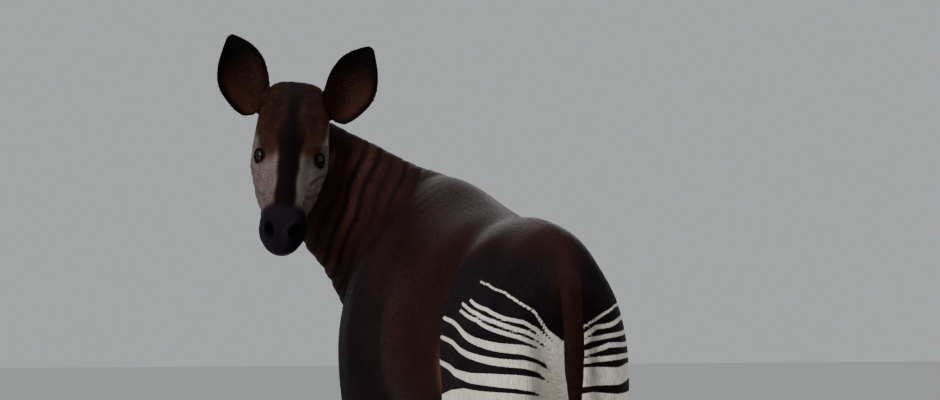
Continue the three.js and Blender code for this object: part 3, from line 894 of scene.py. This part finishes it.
def body_colour(p, normals):
    x, y, z = p.T
    at, distance = neck_place(p)
    on_neck = smoothstep(60, 300, at) * (1 - smoothstep(150, 270, distance))
    creased = neck_folds(p, normals) * on_neck
    spine = bell(x, 34) * smoothstep(-250, -420, y) * smoothstep(1180, 1260, z)
    flank = near(p, (-182, -158, 1045), (60, 46, 115)) + near(p, (182, -175, 1045), (60, 46, 115))
    colour = painted(BACK, len(p), [
        (CHESTNUT, on_neck * 0.5),
        # Painted shade darkens the neck's creases, and a painted reddish highlight lies along the ridges of
        # its folds.
        (NEAR_BLACK, smoothstep(0, -4, creased) * 0.85),
        (np.array(CHESTNUT) * 2.2, smoothstep(1.0, 2.3, creased) * 0.62),
        (CHESTNUT, 0.5 * near(p, (-200, 60, 1180), (120, 260, 190))),
        (BLUE_BLACK, near(p, (-200, 400, 1080), (140, 200, 260)) * 1.2),
        (BLUE_BLACK, near(p, (110, 380, 1080), (140, 200, 260)) * 1.2),
        (BLUE_BLACK, smoothstep(-190, -250, y) * smoothstep(1370, 1290, z) * 0.9),
        (CHESTNUT, spine * 0.8),
        (NEAR_BLACK, smoothstep(800, 640, z) * 0.9),
        (TAN, smoothstep(0.2, 0.9, flank) * 0.85),
        (TAN, 0.4 * near(p, (0, -330, 880), (90, 120, 50))),
    ])
    tail = painted(TAIL_BROWN, len(p), [(NEAR_BLACK, smoothstep(1050, 950, z))])
    on_tail = (np.abs(x) < 60) & (y < -632) & (z < 1300)
    return np.where(on_tail[:, None], tail, colour)


def face_colour(p, place):
    hx, hy, hz = place.T
    swirl = 0.5 + 0.5 * np.sin(hx * 0.13 + hy * 0.05) * np.sin(hy * 0.07 - hx * 0.04)
    crown = painted(RED_BROWN, len(p), [
        (BLUE_BLACK, smoothstep(50, 0, hy) * smoothstep(60, 10, hx) * 0.6),
        (NEAR_BLACK, (0.25 + 0.4 * swirl) * smoothstep(170, 120, hy) * smoothstep(85, 55, hx)),
        (CHESTNUT, smoothstep(-60, -110, hz) * smoothstep(160, 90, hy)),
    ])
    # The forehead's hair whorls, in lighter and darker streaks: the hair's own clumps, with painted sheen
    # where it turns.
    whorl_sheen = np.sin(hy * 0.21 + 2.2 * np.sin(hx * 0.075)) * np.sin(hx * 0.19 + hy * 0.06)
    crown *= (1 + 0.2 * whorl_sheen * smoothstep(175, 120, hy))[:, None]
    edge = 3 * np.sin(hx * 0.23 + 1) + 3 * np.sin(hy * 0.11 + hz * 0.17)
    reach = hy + np.maximum(0, hx - 62) * 2.2 - (hz + 48) * 0.2 + edge * 1.6
    stripe = np.interp(hy, (150, 200, 260, 330), (40, 29, 24, 27))
    cheek = smoothstep(172, 222, reach) * smoothstep(356, 320, hy + edge * 0.6)
    cheek *= smoothstep(-5, 9, hx - stripe + edge * 0.5)
    cheek *= smoothstep(-148, -118, hz) * smoothstep(112, 99, hx)
    brow = near(place, (88, 146, -42), (16, 34, 24))
    bridge = smoothstep(9, -5, hx - stripe * 0.85 + edge * 0.4) * smoothstep(90, 170, hy) * (hz > -60)
    lips = line_distance(place, MOUTH_LINE)
    layers = [
        (CHEEK, cheek * (0.85 + 0.02 * edge)),
        (CHEEK, 0.8 * smoothstep(0.3, 0.8, brow)),
        (CHEEK_DARK, cheek * smoothstep(-88, -135, hz) * 0.85),
        (BRIDGE, bridge * 0.95),
        (BRIDGE, smoothstep(22, 6, hx) * smoothstep(0, 60, hy) * 0.85 * (hz > -40)),
        (MUZZLE, smoothstep(322, 352, hy + (hx - 40) * 0.3 + edge * 0.5)),
        # A near-black line along the mouth's groove: the lips' own dark skin, with painted shade where they
        # meet.
        (LIP_SEAM_SHADE, bell(lips, 2.6)),
        (CHEEK_DARK, 0.5 * bell(lips - 9, 4) * (hz < -92)),
        (LID_BLACK, smoothstep(26.5, 23, eye_distance(p))),
    ]
    # Painted shade: the cheeks darken along the face's creases.
    for line, width, _ in HEAD_CREASES:
        layers.append((CHEEK_DARK, 0.22 * bell(crease_distance(place, line), width * 1.5) * cheek))
    # Painted shade: near black in and round the nostril openings, darker than the muzzle's own colour.
    layers.append((NOSTRIL_SHADE, smoothstep(16, 11.5, line_distance(place, NOSTRIL_LINE))))
    return painted(crown, len(p), layers)


def ear_colour(p, normals, side):
    """An ear's colour at each place, and how much it counts there."""
    _, out, tall, forward = ear_place(p, side)
    front = smoothstep(0.0, 0.5, normals @ np.array(gaze))
    lobe = front * smoothstep(6, 24, ear_edge(out, tall)) * smoothstep(150, 60, tall)
    tone = painted(NEAR_BLACK, len(p), [
        (CHESTNUT, 0.5 * (1 - front) * smoothstep(60, 0, tall)),
        (EAR_INSIDE, lobe * (0.45 + 0.55 * smoothstep(0, 60, out))),
    ])
    ear = between(out, -50, 100) & between(tall, -30, 205) & between(forward, -60, 16)
    return tone, ear * smoothstep(-6, 12, out + np.maximum(0, tall - 14) * 0.9)


def coat_colour(points, normals):
    """The coat's base colour at each place, without the white stripes."""
    p = design(points)
    place = head_place(points)
    on_skull = smoothstep(-50, -15, place[:, 1]) * smoothstep(-240, -222, place[:, 2])
    on_skull *= (np.abs(place[:, 0]) < 130) & (distance_to_head(place) < 1)
    colour = mix(body_colour(p, normals), face_colour(p, folded(place)), on_skull)
    for side in (-1, 1):
        tone, amount = ear_colour(p, normals, side)
        colour = mix(colour, tone, amount)
    return colour


def distance_to_head(head):
    """Under 1 within the skull's and muzzle's own outline, grown a little."""
    rows = np.array([
        (-62, 48, -90, 50), (8, 150, -100, 120), (112, 190, -100, 125), (205, 182, -95, 100),
        (302, 138, -82, 75), (390, 111, -78, 62), (HEAD_LENGTH, 60, -85, 50),
    ], dtype=float)
    half = np.interp(head[:, 1], rows[:, 0], rows[:, 1]) / 2 + 14
    middle = np.interp(head[:, 1], rows[:, 0], rows[:, 2])
    tall = np.interp(head[:, 1], rows[:, 0], rows[:, 3]) + 14
    return ((head[:, 0] / half) ** 2 + ((head[:, 2] - middle) / tall) ** 2) ** 0.5 / 1.25


def lie_of_coat(points, normals, edges):
    """The way the hair points at each place."""
    p = design(points)
    head = head_place(points)
    at, distance = neck_place(p)
    flow = np.tile(np.array([0, -1.0, -0.45]), (len(p), 1))
    flow = mix(flow, (0.5, -0.42, -0.76), smoothstep(60, 220, at) * (1 - smoothstep(220, 260, distance)))
    flow = mix(flow, (0, -0.25, -1), smoothstep(-150, -300, p[:, 1]) * smoothstep(1400, 1280, p[:, 2]))
    flow = mix(flow, (0, 0.1, -1), smoothstep(1200, 900, p[:, 2]) * smoothstep(150, 260, p[:, 1]))
    flow = mix(flow, (0, 0, -1), smoothstep(860, 760, p[:, 2]))
    on_face = (distance_to_head(head) < 1) & (head[:, 1] > -30)
    flow = mix(flow, np.array(head_forward), on_face.astype(float))
    for side in (-1, 1):
        _, outwards, axis = ear_frame(side)
        away, out, _, _ = ear_place(p, side)
        spread = np.array(axis) + np.outer(np.clip((out - 20) / 60, -1, 1.2), np.array(outwards))
        near_ear = ear_amount(points) * (np.linalg.norm(away, axis=1) < EAR_REACH)
        flow = flow + (spread - flow) * near_ear[:, None]
    flow = relaxed(flow, edges, np.full(len(p), 0.6), 6)
    flow -= normals * (flow * normals).sum(1, keepdims=True)
    return flow / np.maximum(1e-6, np.linalg.norm(flow, axis=1, keepdims=True))


# Materials
def material(name, build):
    made = bpy.data.materials.new(name)
    made.use_nodes = True
    build(made.node_tree, made.node_tree.nodes["Principled BSDF"].inputs)
    return made


def node(tree, kind, inputs, **settings):
    """A new node's outputs; each input is linked where it is given a socket, and set where it isn't."""
    made = tree.nodes.new(kind)
    for key, value in settings.items():
        setattr(made, key, value)
    for key, value in inputs.items():
        socket = made.inputs[key]
        if isinstance(value, bpy.types.NodeSocket):
            tree.links.new(value, socket)
        else:
            socket.default_value = value
    return made.outputs


def math_node(tree, operation, a, b):
    return node(tree, "ShaderNodeMath", {0: a, 1: b}, operation=operation)[0]


def ranged(tree, value, start, end, first, last):
    return node(tree, "ShaderNodeMapRange", {0: value, 1: start, 2: end, 3: first, 4: last})[0]


def blended(tree, factor, first, last, blend="MIX"):
    first, last = ((*c, 1) if isinstance(c, tuple) else c for c in (first, last))
    inputs = {0: factor, 6: first, 7: last}
    return node(tree, "ShaderNodeMix", inputs, data_type="RGBA", blend_type=blend)[2]


def darkened(tree, colour, factor):
    grey = node(tree, "ShaderNodeCombineColor", {0: factor, 1: factor, 2: factor})[0]
    return blended(tree, 1.0, colour, grey, "MULTIPLY")


def bumped(tree, height, strength, distance):
    return node(tree, "ShaderNodeBump", {"Height": height, "Strength": strength, "Distance": distance})[0]


def attribute(tree, name, output):
    return node(tree, "ShaderNodeAttribute", {}, attribute_name=name)[output]


def grain_noise(tree, stretch, scale, detail=3.0):
    place = node(tree, "ShaderNodeTexCoord", {})["Object"]
    scaled = node(tree, "ShaderNodeMapping", {"Vector": place, "Scale": stretch})[0]
    return node(tree, "ShaderNodeTexNoise", {"Vector": scaled, "Scale": scale, "Detail": detail})["Fac"]


def build_coat(tree, shader):
    white = attribute(tree, "white", "Fac")
    lying = grain_noise(tree, (1.0, 0.13, 0.6), 420)
    hanging = grain_noise(tree, (1.0, 0.9, 0.13), 420)
    upright = attribute(tree, "upright", "Fac")
    grain = node(tree, "ShaderNodeMix", {0: upright, 2: lying, 3: hanging})[0]
    broad = grain_noise(tree, (1, 1, 1), 9, 4)
    ragged = math_node(tree, "SUBTRACT", grain_noise(tree, (1, 1, 0.5), 260, 2), 0.5)
    edge = math_node(tree, "ADD", white, math_node(tree, "MULTIPLY", ragged, 2.6))
    pale = blended(tree, broad, (0.60, 0.555, 0.50), (0.42, 0.385, 0.33))
    marked = blended(tree, ranged(tree, edge, -0.6, 0.8, 0.0, 1.0), attribute(tree, "coat", "Color"), pale)
    shade = ranged(tree, grain, 0.25, 0.75, 0.52, 1.26)
    drift = ranged(tree, broad, 0.3, 0.7, 0.8, 1.25)
    tree.links.new(darkened(tree, marked, math_node(tree, "MULTIPLY", shade, drift)), shader["Base Color"])
    tree.links.new(ranged(tree, grain, 0.2, 0.8, 0.62, 0.42), shader["Roughness"])
    tree.links.new(bumped(tree, grain, 0.5, 0.0022), shader["Normal"])
    shader["Specular IOR Level"].default_value = 0.02
    shader["Specular Tint"].default_value = (1.0, 0.80, 0.78, 1)


def build_hair(tree, shader):
    strand = grain_noise(tree, (1, 1, 0.1), 500)
    colour = blended(tree, strand, (0.006, 0.004, 0.004), (0.018, 0.0095, 0.0075))
    tree.links.new(colour, shader["Base Color"])
    shader["Roughness"].default_value = 0.55
    shader["Specular IOR Level"].default_value = 0.15


def build_horn(tree, shader):
    streak = grain_noise(tree, (1, 1, 0.12), 160)
    rings = grain_noise(tree, (0.15, 0.15, 1), 260)
    tree.links.new(blended(tree, streak, (0.006, 0.005, 0.005), (0.028, 0.021, 0.018)), shader["Base Color"])
    tree.links.new(ranged(tree, streak, 0.2, 0.8, 0.35, 0.6), shader["Roughness"])
    tree.links.new(bumped(tree, math_node(tree, "ADD", streak, rings), 0.3, 0.001), shader["Normal"])


def build_eye(tree, shader):
    shade = ranged(tree, grain_noise(tree, (1, 1, 1), 900, 2), 0.3, 0.7, 0.75, 1.25)
    tree.links.new(darkened(tree, attribute(tree, "coat", "Color"), shade), shader["Base Color"])
    shader["Roughness"].default_value = 0.3
    shader["Specular IOR Level"].default_value = 0.1
    shader["Coat Weight"].default_value = 0.22
    shader["Coat IOR"].default_value = 1.33
    shader["Coat Roughness"].default_value = 0.03


def build_floor(tree, shader):
    fleck = grain_noise(tree, (1, 1, 1), 6, 3)
    tree.links.new(blended(tree, fleck, (0.74, 0.74, 0.73), (0.80, 0.80, 0.79)), shader["Base Color"])
    shader["Roughness"].default_value = 0.9


def set_attribute(mesh, name, values, kind):
    attribute = mesh.attributes.new(name, kind, "POINT")
    if kind == "FLOAT_COLOR":
        values = np.hstack([values, np.ones((len(values), 1))])
        attribute.data.foreach_set("color", values.astype(np.float32).ravel())
    else:
        attribute.data.foreach_set("value", values.astype(np.float32))


def uprightness(points):
    _, y, z = design(points).T
    return np.maximum(smoothstep(1180, 900, z), smoothstep(-180, -300, y) * smoothstep(1400, 1300, z))


# The middle of each part of the unwrap, in the design's millimetres: trunk, neck and shoulder,
# hind legs, forelegs, head and ears
CHART_MIDDLES = np.array([
    (0, -200, 1200), (-100, 500, 1250), (-110, -450, 480), (110, -450, 480),
    (-200, 380, 480), (60, 380, 480), (-370, 500, 1550), (-340, 620, 1780),
])


def unwrap(points, normals):
    """Where tufts lie in the unwrap: a chart for each part of the body and each way that it faces."""
    p = design(points)
    head = head_place(points)
    low, behind = p[:, 2] < 930, p[:, 1] < 0
    part = np.zeros(len(p), dtype=int)
    part[p[:, 1] > 330] = 1
    part[low & behind] = 2 + (p[low & behind, 0] >= 0)
    part[low & ~behind] = 4 + (p[low & ~behind, 0] >= -70)
    part[(distance_to_head(head) < 1) & (head[:, 1] > -40)] = 6
    part[ear_amount(points) > 0.5] = 7
    axis = np.abs(normals).argmax(1)
    way = axis * 2 + (np.take_along_axis(normals, axis[:, None], 1)[:, 0] < 0)
    across = np.array([(1, 2), (0, 2), (0, 1)])[axis]
    flat = np.take_along_axis(p - CHART_MIDDLES[part], across, 1)
    cell = part * 6 + way
    corner = np.stack([(cell % 7 + 0.5) / 7, (cell // 7 + 0.5) / 7], 1)
    return corner + np.clip(flat / 1100 * 0.13, -0.068, 0.068)


# How deep a tuft's root lies in the skin, in metres, and the size of its patch in the unwrap
ROOT_DEPTH = 0.0006
PATCH = 0.003


# Tufts: thin closed blades of three sides, rooted in the skin and lying along it
def tuft_mesh(name, roots, normals, flows, lengths, widths, lift, colours, white=None, segments=1, curl=0.0):
    count = len(roots)
    white = np.full(count, FAR_OUTSIDE) if white is None else white
    sides = np.cross(normals, flows)
    layers = []
    for level in np.linspace(0, 1, segments + 1):
        rise = lengths * lift * (level - 0.35 * level**2) - ROOT_DEPTH
        centre = roots + flows * (lengths * level)[:, None] + normals * rise[:, None]
        centre[:, 2] -= lengths * curl * level**2
        if level == 1:
            layers.append(centre[:, None])
            continue
        half = (widths * (1 - 0.55 * level) / 2)[:, None]
        ridge = centre + normals * half * 0.5
        layers.append(np.stack([centre - sides * half, centre + sides * half, ridge], 1))
    points = np.concatenate(layers, 1)
    per = points.shape[1]
    blade = [(0, 2, 1)]
    for a in range(0, 3 * segments - 3):
        b = a + 1 if a % 3 < 2 else a - 2
        blade += [(a, b, b + 3), (a, b + 3, a + 3)]
    last = (segments - 1) * 3
    blade += [(last + k, last + (k + 1) % 3, per - 1) for k in range(3)]
    faces = (np.arange(count)[:, None, None] * per + np.array(blade)).reshape(-1, 3)
    mesh = bpy.data.meshes.new(name)
    mesh.vertices.add(count * per)
    mesh.vertices.foreach_set("co", points.ravel())
    mesh.loops.add(len(faces) * 3)
    mesh.loops.foreach_set("vertex_index", faces.ravel().astype(np.int32))
    mesh.polygons.add(len(faces))
    mesh.polygons.foreach_set("loop_start", np.arange(0, len(faces) * 3, 3, dtype=np.int32))
    mesh.update(calc_edges=True)
    set_smooth(mesh, False)
    set_attribute(mesh, "coat", np.repeat(colours, per, 0), "FLOAT_COLOR")
    set_attribute(mesh, "white", np.repeat(white, per), "FLOAT")
    set_attribute(mesh, "upright", np.repeat(uprightness(roots), per), "FLOAT")
    corner = np.arange(per - 1)
    patch = np.stack([corner % 3 - 1.0, 2 * (corner // 3) / segments - 1], 1)
    patch = np.vstack([patch, (0, 1)]) * PATCH / 2
    uv = (unwrap(roots, normals)[:, None] + patch).reshape(-1, 2)
    layer = mesh.uv_layers.new(name="OFBake")
    layer.data.foreach_set("uv", uv[faces.ravel()].astype(np.float32).ravel())
    piece = bpy.data.objects.new(name, mesh)
    bpy.context.scene.collection.objects.link(piece)
    return piece


def scattered(skin, density):
    """Random roots on the skin, as many per square metre as density says, and their normals.

    The last thing returned carries any values at the skin's vertices over to the roots.
    """
    mesh = skin.data
    mesh.calc_loop_triangles()
    corners = np.empty(len(mesh.loop_triangles) * 3, dtype=np.int32)
    mesh.loop_triangles.foreach_get("vertices", corners)
    corners = corners.reshape(-1, 3)
    points = vertices_of(mesh)
    a, b, c = (points[corners[:, k]] for k in range(3))
    area = np.linalg.norm(np.cross(b - a, c - a), axis=1) / 2
    number = rng.poisson(area * density[corners].mean(1))
    which = corners[np.repeat(np.arange(len(corners)), number)]
    u, v = rng.random(len(which)), rng.random(len(which))
    over = u + v > 1
    u[over], v[over] = 1 - u[over], 1 - v[over]
    weights = np.stack([1 - u - v, u, v], 1)

    def carried(values):
        share = weights if values.ndim == 1 else weights[:, :, None]
        return (values[which] * share).sum(1)

    return carried(points), unit(carried(normals_of(mesh))), carried


def laid_down(directions, normals):
    """The same directions, turned to run along the skin."""
    return unit(directions - normals * (directions * normals).sum(1, keepdims=True))


def unit(vectors):
    return vectors / np.maximum(1e-9, np.linalg.norm(vectors, axis=1, keepdims=True))


def make_coat(skin, coat_material):
    mesh = skin.data
    points, normals = vertices_of(mesh), normals_of(mesh)
    p = design(points)
    head = head_place(points)
    white = white_distance(p)
    flow = lie_of_coat(points, normals, edges_of(mesh))
    set_attribute(mesh, "coat", coat_colour(points, normals), "FLOAT_COLOR")
    set_attribute(mesh, "white", white + WHITE_PAST_TUFTS, "FLOAT")
    set_attribute(mesh, "upright", uprightness(points), "FLOAT")
    face = ((distance_to_head(head) < 1) & (head[:, 1] > -30)).astype(float)
    ear = ear_amount(points) * (1 - face)
    belly = smoothstep(960, 900, p[:, 2]) * smoothstep(-0.4, -0.8, normals[:, 2]) * (p[:, 2] > 840)
    low = smoothstep(700, 300, p[:, 2])
    at_edge = bell(white, 8) * (white > -25)
    density = 42000 + 40000 * face + 34000 * ear + 8000 * low
    density *= smoothstep(20.5, 25, eye_distance(p)) * (1 - 0.9 * smoothstep(400, 425, head[:, 1]) * face)
    density *= smoothstep(58, 66, p[:, 2])
    length = 10 - 5.5 * face - 4 * low + 5 * belly - 4 * ear
    length += 7 * near(folded(head), (20, 40, 0), (70, 60, 40)) * face
    length *= 1 - 0.62 * at_edge
    width = (2.0 - 1.1 * face - 0.8 * low - 0.6 * ear) * (1 - 0.3 * at_edge)
    roots, normal, carried = scattered(skin, density)
    lie = carried(flow)
    count = len(roots)
    lie = laid_down(lie + np.cross(normal, lie) * rng.normal(0, 0.16, count)[:, None], normal)
    lengths = carried(length) * MM * rng.uniform(0.7, 1.25, count)
    widths = carried(width) * MM * rng.uniform(0.8, 1.2, count)
    tone = coat_colour(roots, normal) * rng.uniform(0.82, 1.25, count)[:, None]
    marks = white_distance(design(roots))
    order = np.argsort(roots[:, 1] + roots[:, 2], kind="stable")
    pieces = []
    for n in range(0, count, TUFTS_EACH):
        k = order[n:n + TUFTS_EACH]
        name = f"coat_{n // TUFTS_EACH + 1}"
        piece = tuft_mesh(name, roots[k], normal[k], lie[k], lengths[k], widths[k], 0.17, tone[k], marks[k])
        piece.data.materials.append(coat_material)
        pieces.append(piece)
    return pieces


def make_ear_hair(skin, coat_material):
    """Longer hair inside each ear, from its inner edge and root, and sparser hair over the rest of its
    inside.
    """
    points, normals = vertices_of(skin.data), normals_of(skin.data)
    inside = np.zeros(len(points))
    for side in (-1, 1):
        away, out, tall, _ = ear_place(design(points), side)
        own = (np.linalg.norm(away, axis=1) < EAR_REACH) & (tall > -28)
        facing = smoothstep(0.0, 0.4, normals @ np.array(gaze) + 0.2)
        tufted = smoothstep(40, 0, out) * smoothstep(125, 30, tall) + 0.06
        inside = np.maximum(inside, own * facing * smoothstep(4, 14, ear_edge(out, tall)) * tufted)
    roots, normal, carried = scattered(skin, 90000 * inside * ear_amount(points))
    count = len(roots)
    tone = carried(coat_colour(points, normals))
    side_of = np.where(head_place(roots)[:, 0] > 0, 1, -1)
    lie = np.zeros((count, 3))
    for side in (-1, 1):
        _, outwards, axis = ear_frame(side)
        lie[side_of == side] = axis * 0.8 + outwards * 0.55 + gaze * 0.25
    lie = laid_down(lie + rng.normal(0, 0.22, (count, 3)), normal)
    lengths = rng.uniform(9, 24, count) * MM
    widths = rng.uniform(0.5, 0.9, count) * MM
    pale = rng.random(count) < 0.35
    tone = tone * rng.uniform(0.8, 1.5, count)[:, None] + np.outer(pale * 0.03, (1.0, 0.62, 0.42))
    piece = tuft_mesh("ear_hair", roots, normal, lie, lengths, widths, 0.28, tone, segments=3)
    piece.data.materials.append(coat_material)
    return piece


def make_tail_tuft(hair_material):
    """The long hair that hangs from the end of the tail."""
    count = 2600
    along = rng.uniform(0.70, 1.0, count) ** 0.7
    centre = spline(TAIL_LINE, along)
    width = np.interp(along, np.linspace(0, 1, len(TAIL_WIDTHS)), TAIL_WIDTHS) * 0.42
    turn = rng.uniform(0, 2 * math.pi, count)
    normal = np.stack([np.cos(turn), np.sin(turn), np.zeros(count)], 1)
    roots = placed(centre + normal * width[:, None] * 0.8)
    room = centre[:, 2] - (TAIL_TOP - TAIL_LENGTH - TUFT_LENGTH * 0.93)
    lengths = np.minimum(rng.uniform(60, 130, count), room * rng.uniform(0.7, 1.0, count)) * MM
    flow = unit(np.array([0, 0, -1.0]) + normal * 0.13 + rng.normal(0, 0.03, (count, 3)))
    widths = rng.uniform(0.9, 1.6, count) * MM
    tone = np.full((count, 3), 0.02)
    piece = tuft_mesh("tail_hair", roots, normal, flow, lengths, widths, -0.05, tone, segments=5)
    piece.data.materials.append(hair_material)
    return piece


def make_lashes(hair_material):
    """Lashes on the upper lids, and whiskers round the lips and chin."""
    hairs = []
    for side in (-1, 1):
        along, up, corner = eye_axes(side)
        for k in range(46):
            turn = math.radians(18 + 144 * (k + rng.uniform(-0.4, 0.4)) / 46)
            rim = corner * (math.cos(turn) * 17) + up * (math.sin(turn) * UPPER_LID)
            depth = math.sqrt(max(1, (EYE_RADIUS + 2.5) ** 2 - rim.length_squared))
            away = (along * 0.9 + up * 0.35 + corner * (0.5 * math.cos(turn))).normalized()
            hairs.append((eye_at(side) + rim + along * depth, away, up, rng.uniform(8, 13), 0.5))
        for k in range(9):
            y = rng.uniform(350, 435)
            z = rng.uniform(-122, -70)
            spread = np.interp(y, (350, 400, 440), (56, 54, 36))
            away = head_right * side + head_forward * rng.uniform(0.1, 0.7) - head_out * rng.uniform(0, 0.6)
            root = on_head(side * spread * 0.96, y, z)
            hairs.append((root, away.normalized(), head_out, rng.uniform(12, 28), 0.3))
    roots, flow, normal, lengths, widths = (np.array(column, dtype=float) for column in zip(*hairs))
    normal = laid_down(normal, flow)
    tone = np.full((len(roots), 3), 0.01)
    piece = tuft_mesh(
        "lashes", placed(roots), normal, flow, lengths * MM, widths * MM, 0.25, tone, segments=3, curl=0.1,
    )
    piece.data.materials.append(hair_material)
    return piece


def make_eye(side, name, eye_material):
    """An eyeball with a clear bulge, a dark brown iris and a wide level pupil."""
    around = 72
    along, up, corner = (np.array(v) for v in eye_axes(side))
    u = np.linspace(0, 2 * math.pi, around, endpoint=False)
    rings = []
    tones = []
    for v in np.linspace(0.02, math.pi - 0.02, around):
        radius = (EYE_RADIUS - 0.5) * (1 + 0.045 * bell(v, 0.55))
        across, high = np.sin(v) * np.cos(u), np.sin(v) * np.sin(u)
        offset = np.outer(across, corner) + np.outer(high, up) + math.cos(v) * along
        rings.append(placed(np.array(eye_at(side)) + offset * radius))
        pupil = smoothstep(1.05, 0.9, np.sqrt((across / 0.46) ** 2 + (high / 0.24) ** 2))
        iris = smoothstep(0.80, 0.70, np.full(around, math.sin(v)))
        tones.append(painted(EYE_WHITE, around, [(IRIS, iris), (PUPIL, pupil)]))
    points, faces = skin_over(rings)
    piece = mesh_object(name, points, faces)
    tones = np.vstack([*tones, tones[0].mean(0)[None], tones[-1].mean(0)[None]])
    set_attribute(piece.data, "coat", tones, "FLOAT_COLOR")
    set_smooth(piece.data, True)
    piece.data.materials.append(eye_material)
    return piece


# A claw's sections: height, how far ahead and behind the foot's middle, width
CLAW_ROWS = [(0, 66, -42, 39), (3, 66, -42, 39), (28, 58, -43, 38), (60, 46, -42, 36), (84, 36, -38, 30)]
CLAW_APART = 20.5
FORE_FOOT = 416
HIND_FOOT = -486


def make_hoof(leg, side, horn_material):
    rows, sign, shift = LEGS[leg]
    x = sign * rows[-1][3] + shift[0] + side * CLAW_APART
    y = (FORE_FOOT if rows is FORE_ROWS else HIND_FOOT) + shift[1]
    sections = [((x, y + f, h), (x, y + b, h), w, -0.3, 1.8, 2.4) for h, f, b, w in CLAW_ROWS]
    piece = joined(f"claw_{leg}_{'left' if side < 0 else 'right'}", [loft(sections, 48, 6, 0.2)])
    points = vertices_of(piece.data)
    points[:, 2] = np.maximum(points[:, 2], SHIFT[2])
    piece.data.vertices.foreach_set("co", points.ravel())
    set_smooth(piece.data, True)
    piece.data.materials.append(horn_material)
    return piece


# Camera, lights and floor
def make_camera():
    azimuth = math.radians(VIEW_AZIMUTH)
    direction = Vector((-math.sin(azimuth), math.cos(azimuth), 0))
    place = Vector((*VIEW_MIDDLE, VIEW_HEIGHT)) - direction * VIEW_DISTANCE + Vector(SHIFT)
    aim = direction + Vector((0, 0, HORIZON_BELOW_MIDDLE / FOCAL_PIXELS))
    camera = bpy.data.objects.new("camera", bpy.data.cameras.new("camera"))
    camera.data.sensor_width = 36
    camera.data.lens = 36 * FOCAL_PIXELS / PHOTO_WIDTH
    camera.location = place
    camera.rotation_euler = aim.to_track_quat("-Z", "Y").to_euler()
    camera.data.clip_end = 200
    bpy.context.scene.collection.objects.link(camera)
    bpy.context.scene.camera = camera


def area_light(name, at, toward, size, power, colour):
    light = bpy.data.lights.new(name, "AREA")
    light.shape = "RECTANGLE"
    light.size, light.size_y = size
    light.energy = power
    light.color = colour
    holder = bpy.data.objects.new(name, light)
    holder.location = at
    holder.rotation_euler = (Vector(toward) - Vector(at)).to_track_quat("-Z", "Y").to_euler()
    bpy.context.scene.collection.objects.link(holder)


def make_studio():
    area_light("key", (-4.2, -2.6, 4.8), (0, 0, 1.2), (2.4, 2.4), 390, (1.0, 0.98, 0.95))
    area_light("top", (0.3, 0.6, 5.2), (0, 0, 1.0), (5.0, 4.0), 75, (0.95, 0.97, 1.0))
    area_light("fill", (4.5, -3.0, 2.4), (0, 0, 1.1), (3.0, 3.0), 55, (0.96, 0.98, 1.0))
    area_light("rim", (1.5, 5.0, 3.2), (0, 0, 1.2), (4.0, 2.0), 95, (1.0, 1.0, 1.0))
    world = bpy.data.worlds.new("studio")
    world.use_nodes = True
    world.node_tree.nodes["Background"].inputs[0].default_value = (0.86, 0.88, 0.90, 1)
    world.node_tree.nodes["Background"].inputs[1].default_value = 0.5
    bpy.context.scene.world = world
    floor = mesh_object("floor", [(-40, -40, 0), (40, -40, 0), (40, 40, 0), (-40, 40, 0)], [(0, 1, 2, 3)])
    floor.data.materials.append(material("floor", build_floor))


coat_material = material("coat", build_coat)
hair_material = material("hair", build_hair)
horn_material = material("horn", build_horn)
eye_material = material("eye", build_eye)

skin = make_skin()
shape_skin(skin)
skin.data.materials.clear()
skin.data.materials.append(coat_material)
coat = make_coat(skin, coat_material)
coat.append(make_ear_hair(skin, coat_material))
for piece in [skin, *coat]:
    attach(piece, "root")
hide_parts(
    "head", "neck", "torso", "tail", "ear_left", "ear_right",
    *["leg_" + name for name in LEGS],
)
tail_hair = make_tail_tuft(hair_material)
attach(tail_hair, "root")
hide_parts("tail_tuft")
lashes = make_lashes(hair_material)
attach(lashes, "root")
for side, word in ((-1, "left"), (1, "right")):
    eye = make_eye(side, "eyeball_" + word, eye_material)
    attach(eye, "root")
    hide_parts("eye_" + word)
    for leg in LEGS:
        claw = make_hoof(leg, side, horn_material)
        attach(claw, "root")
        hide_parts(f"hoof_{leg}_{word}")

make_camera()
make_studio()
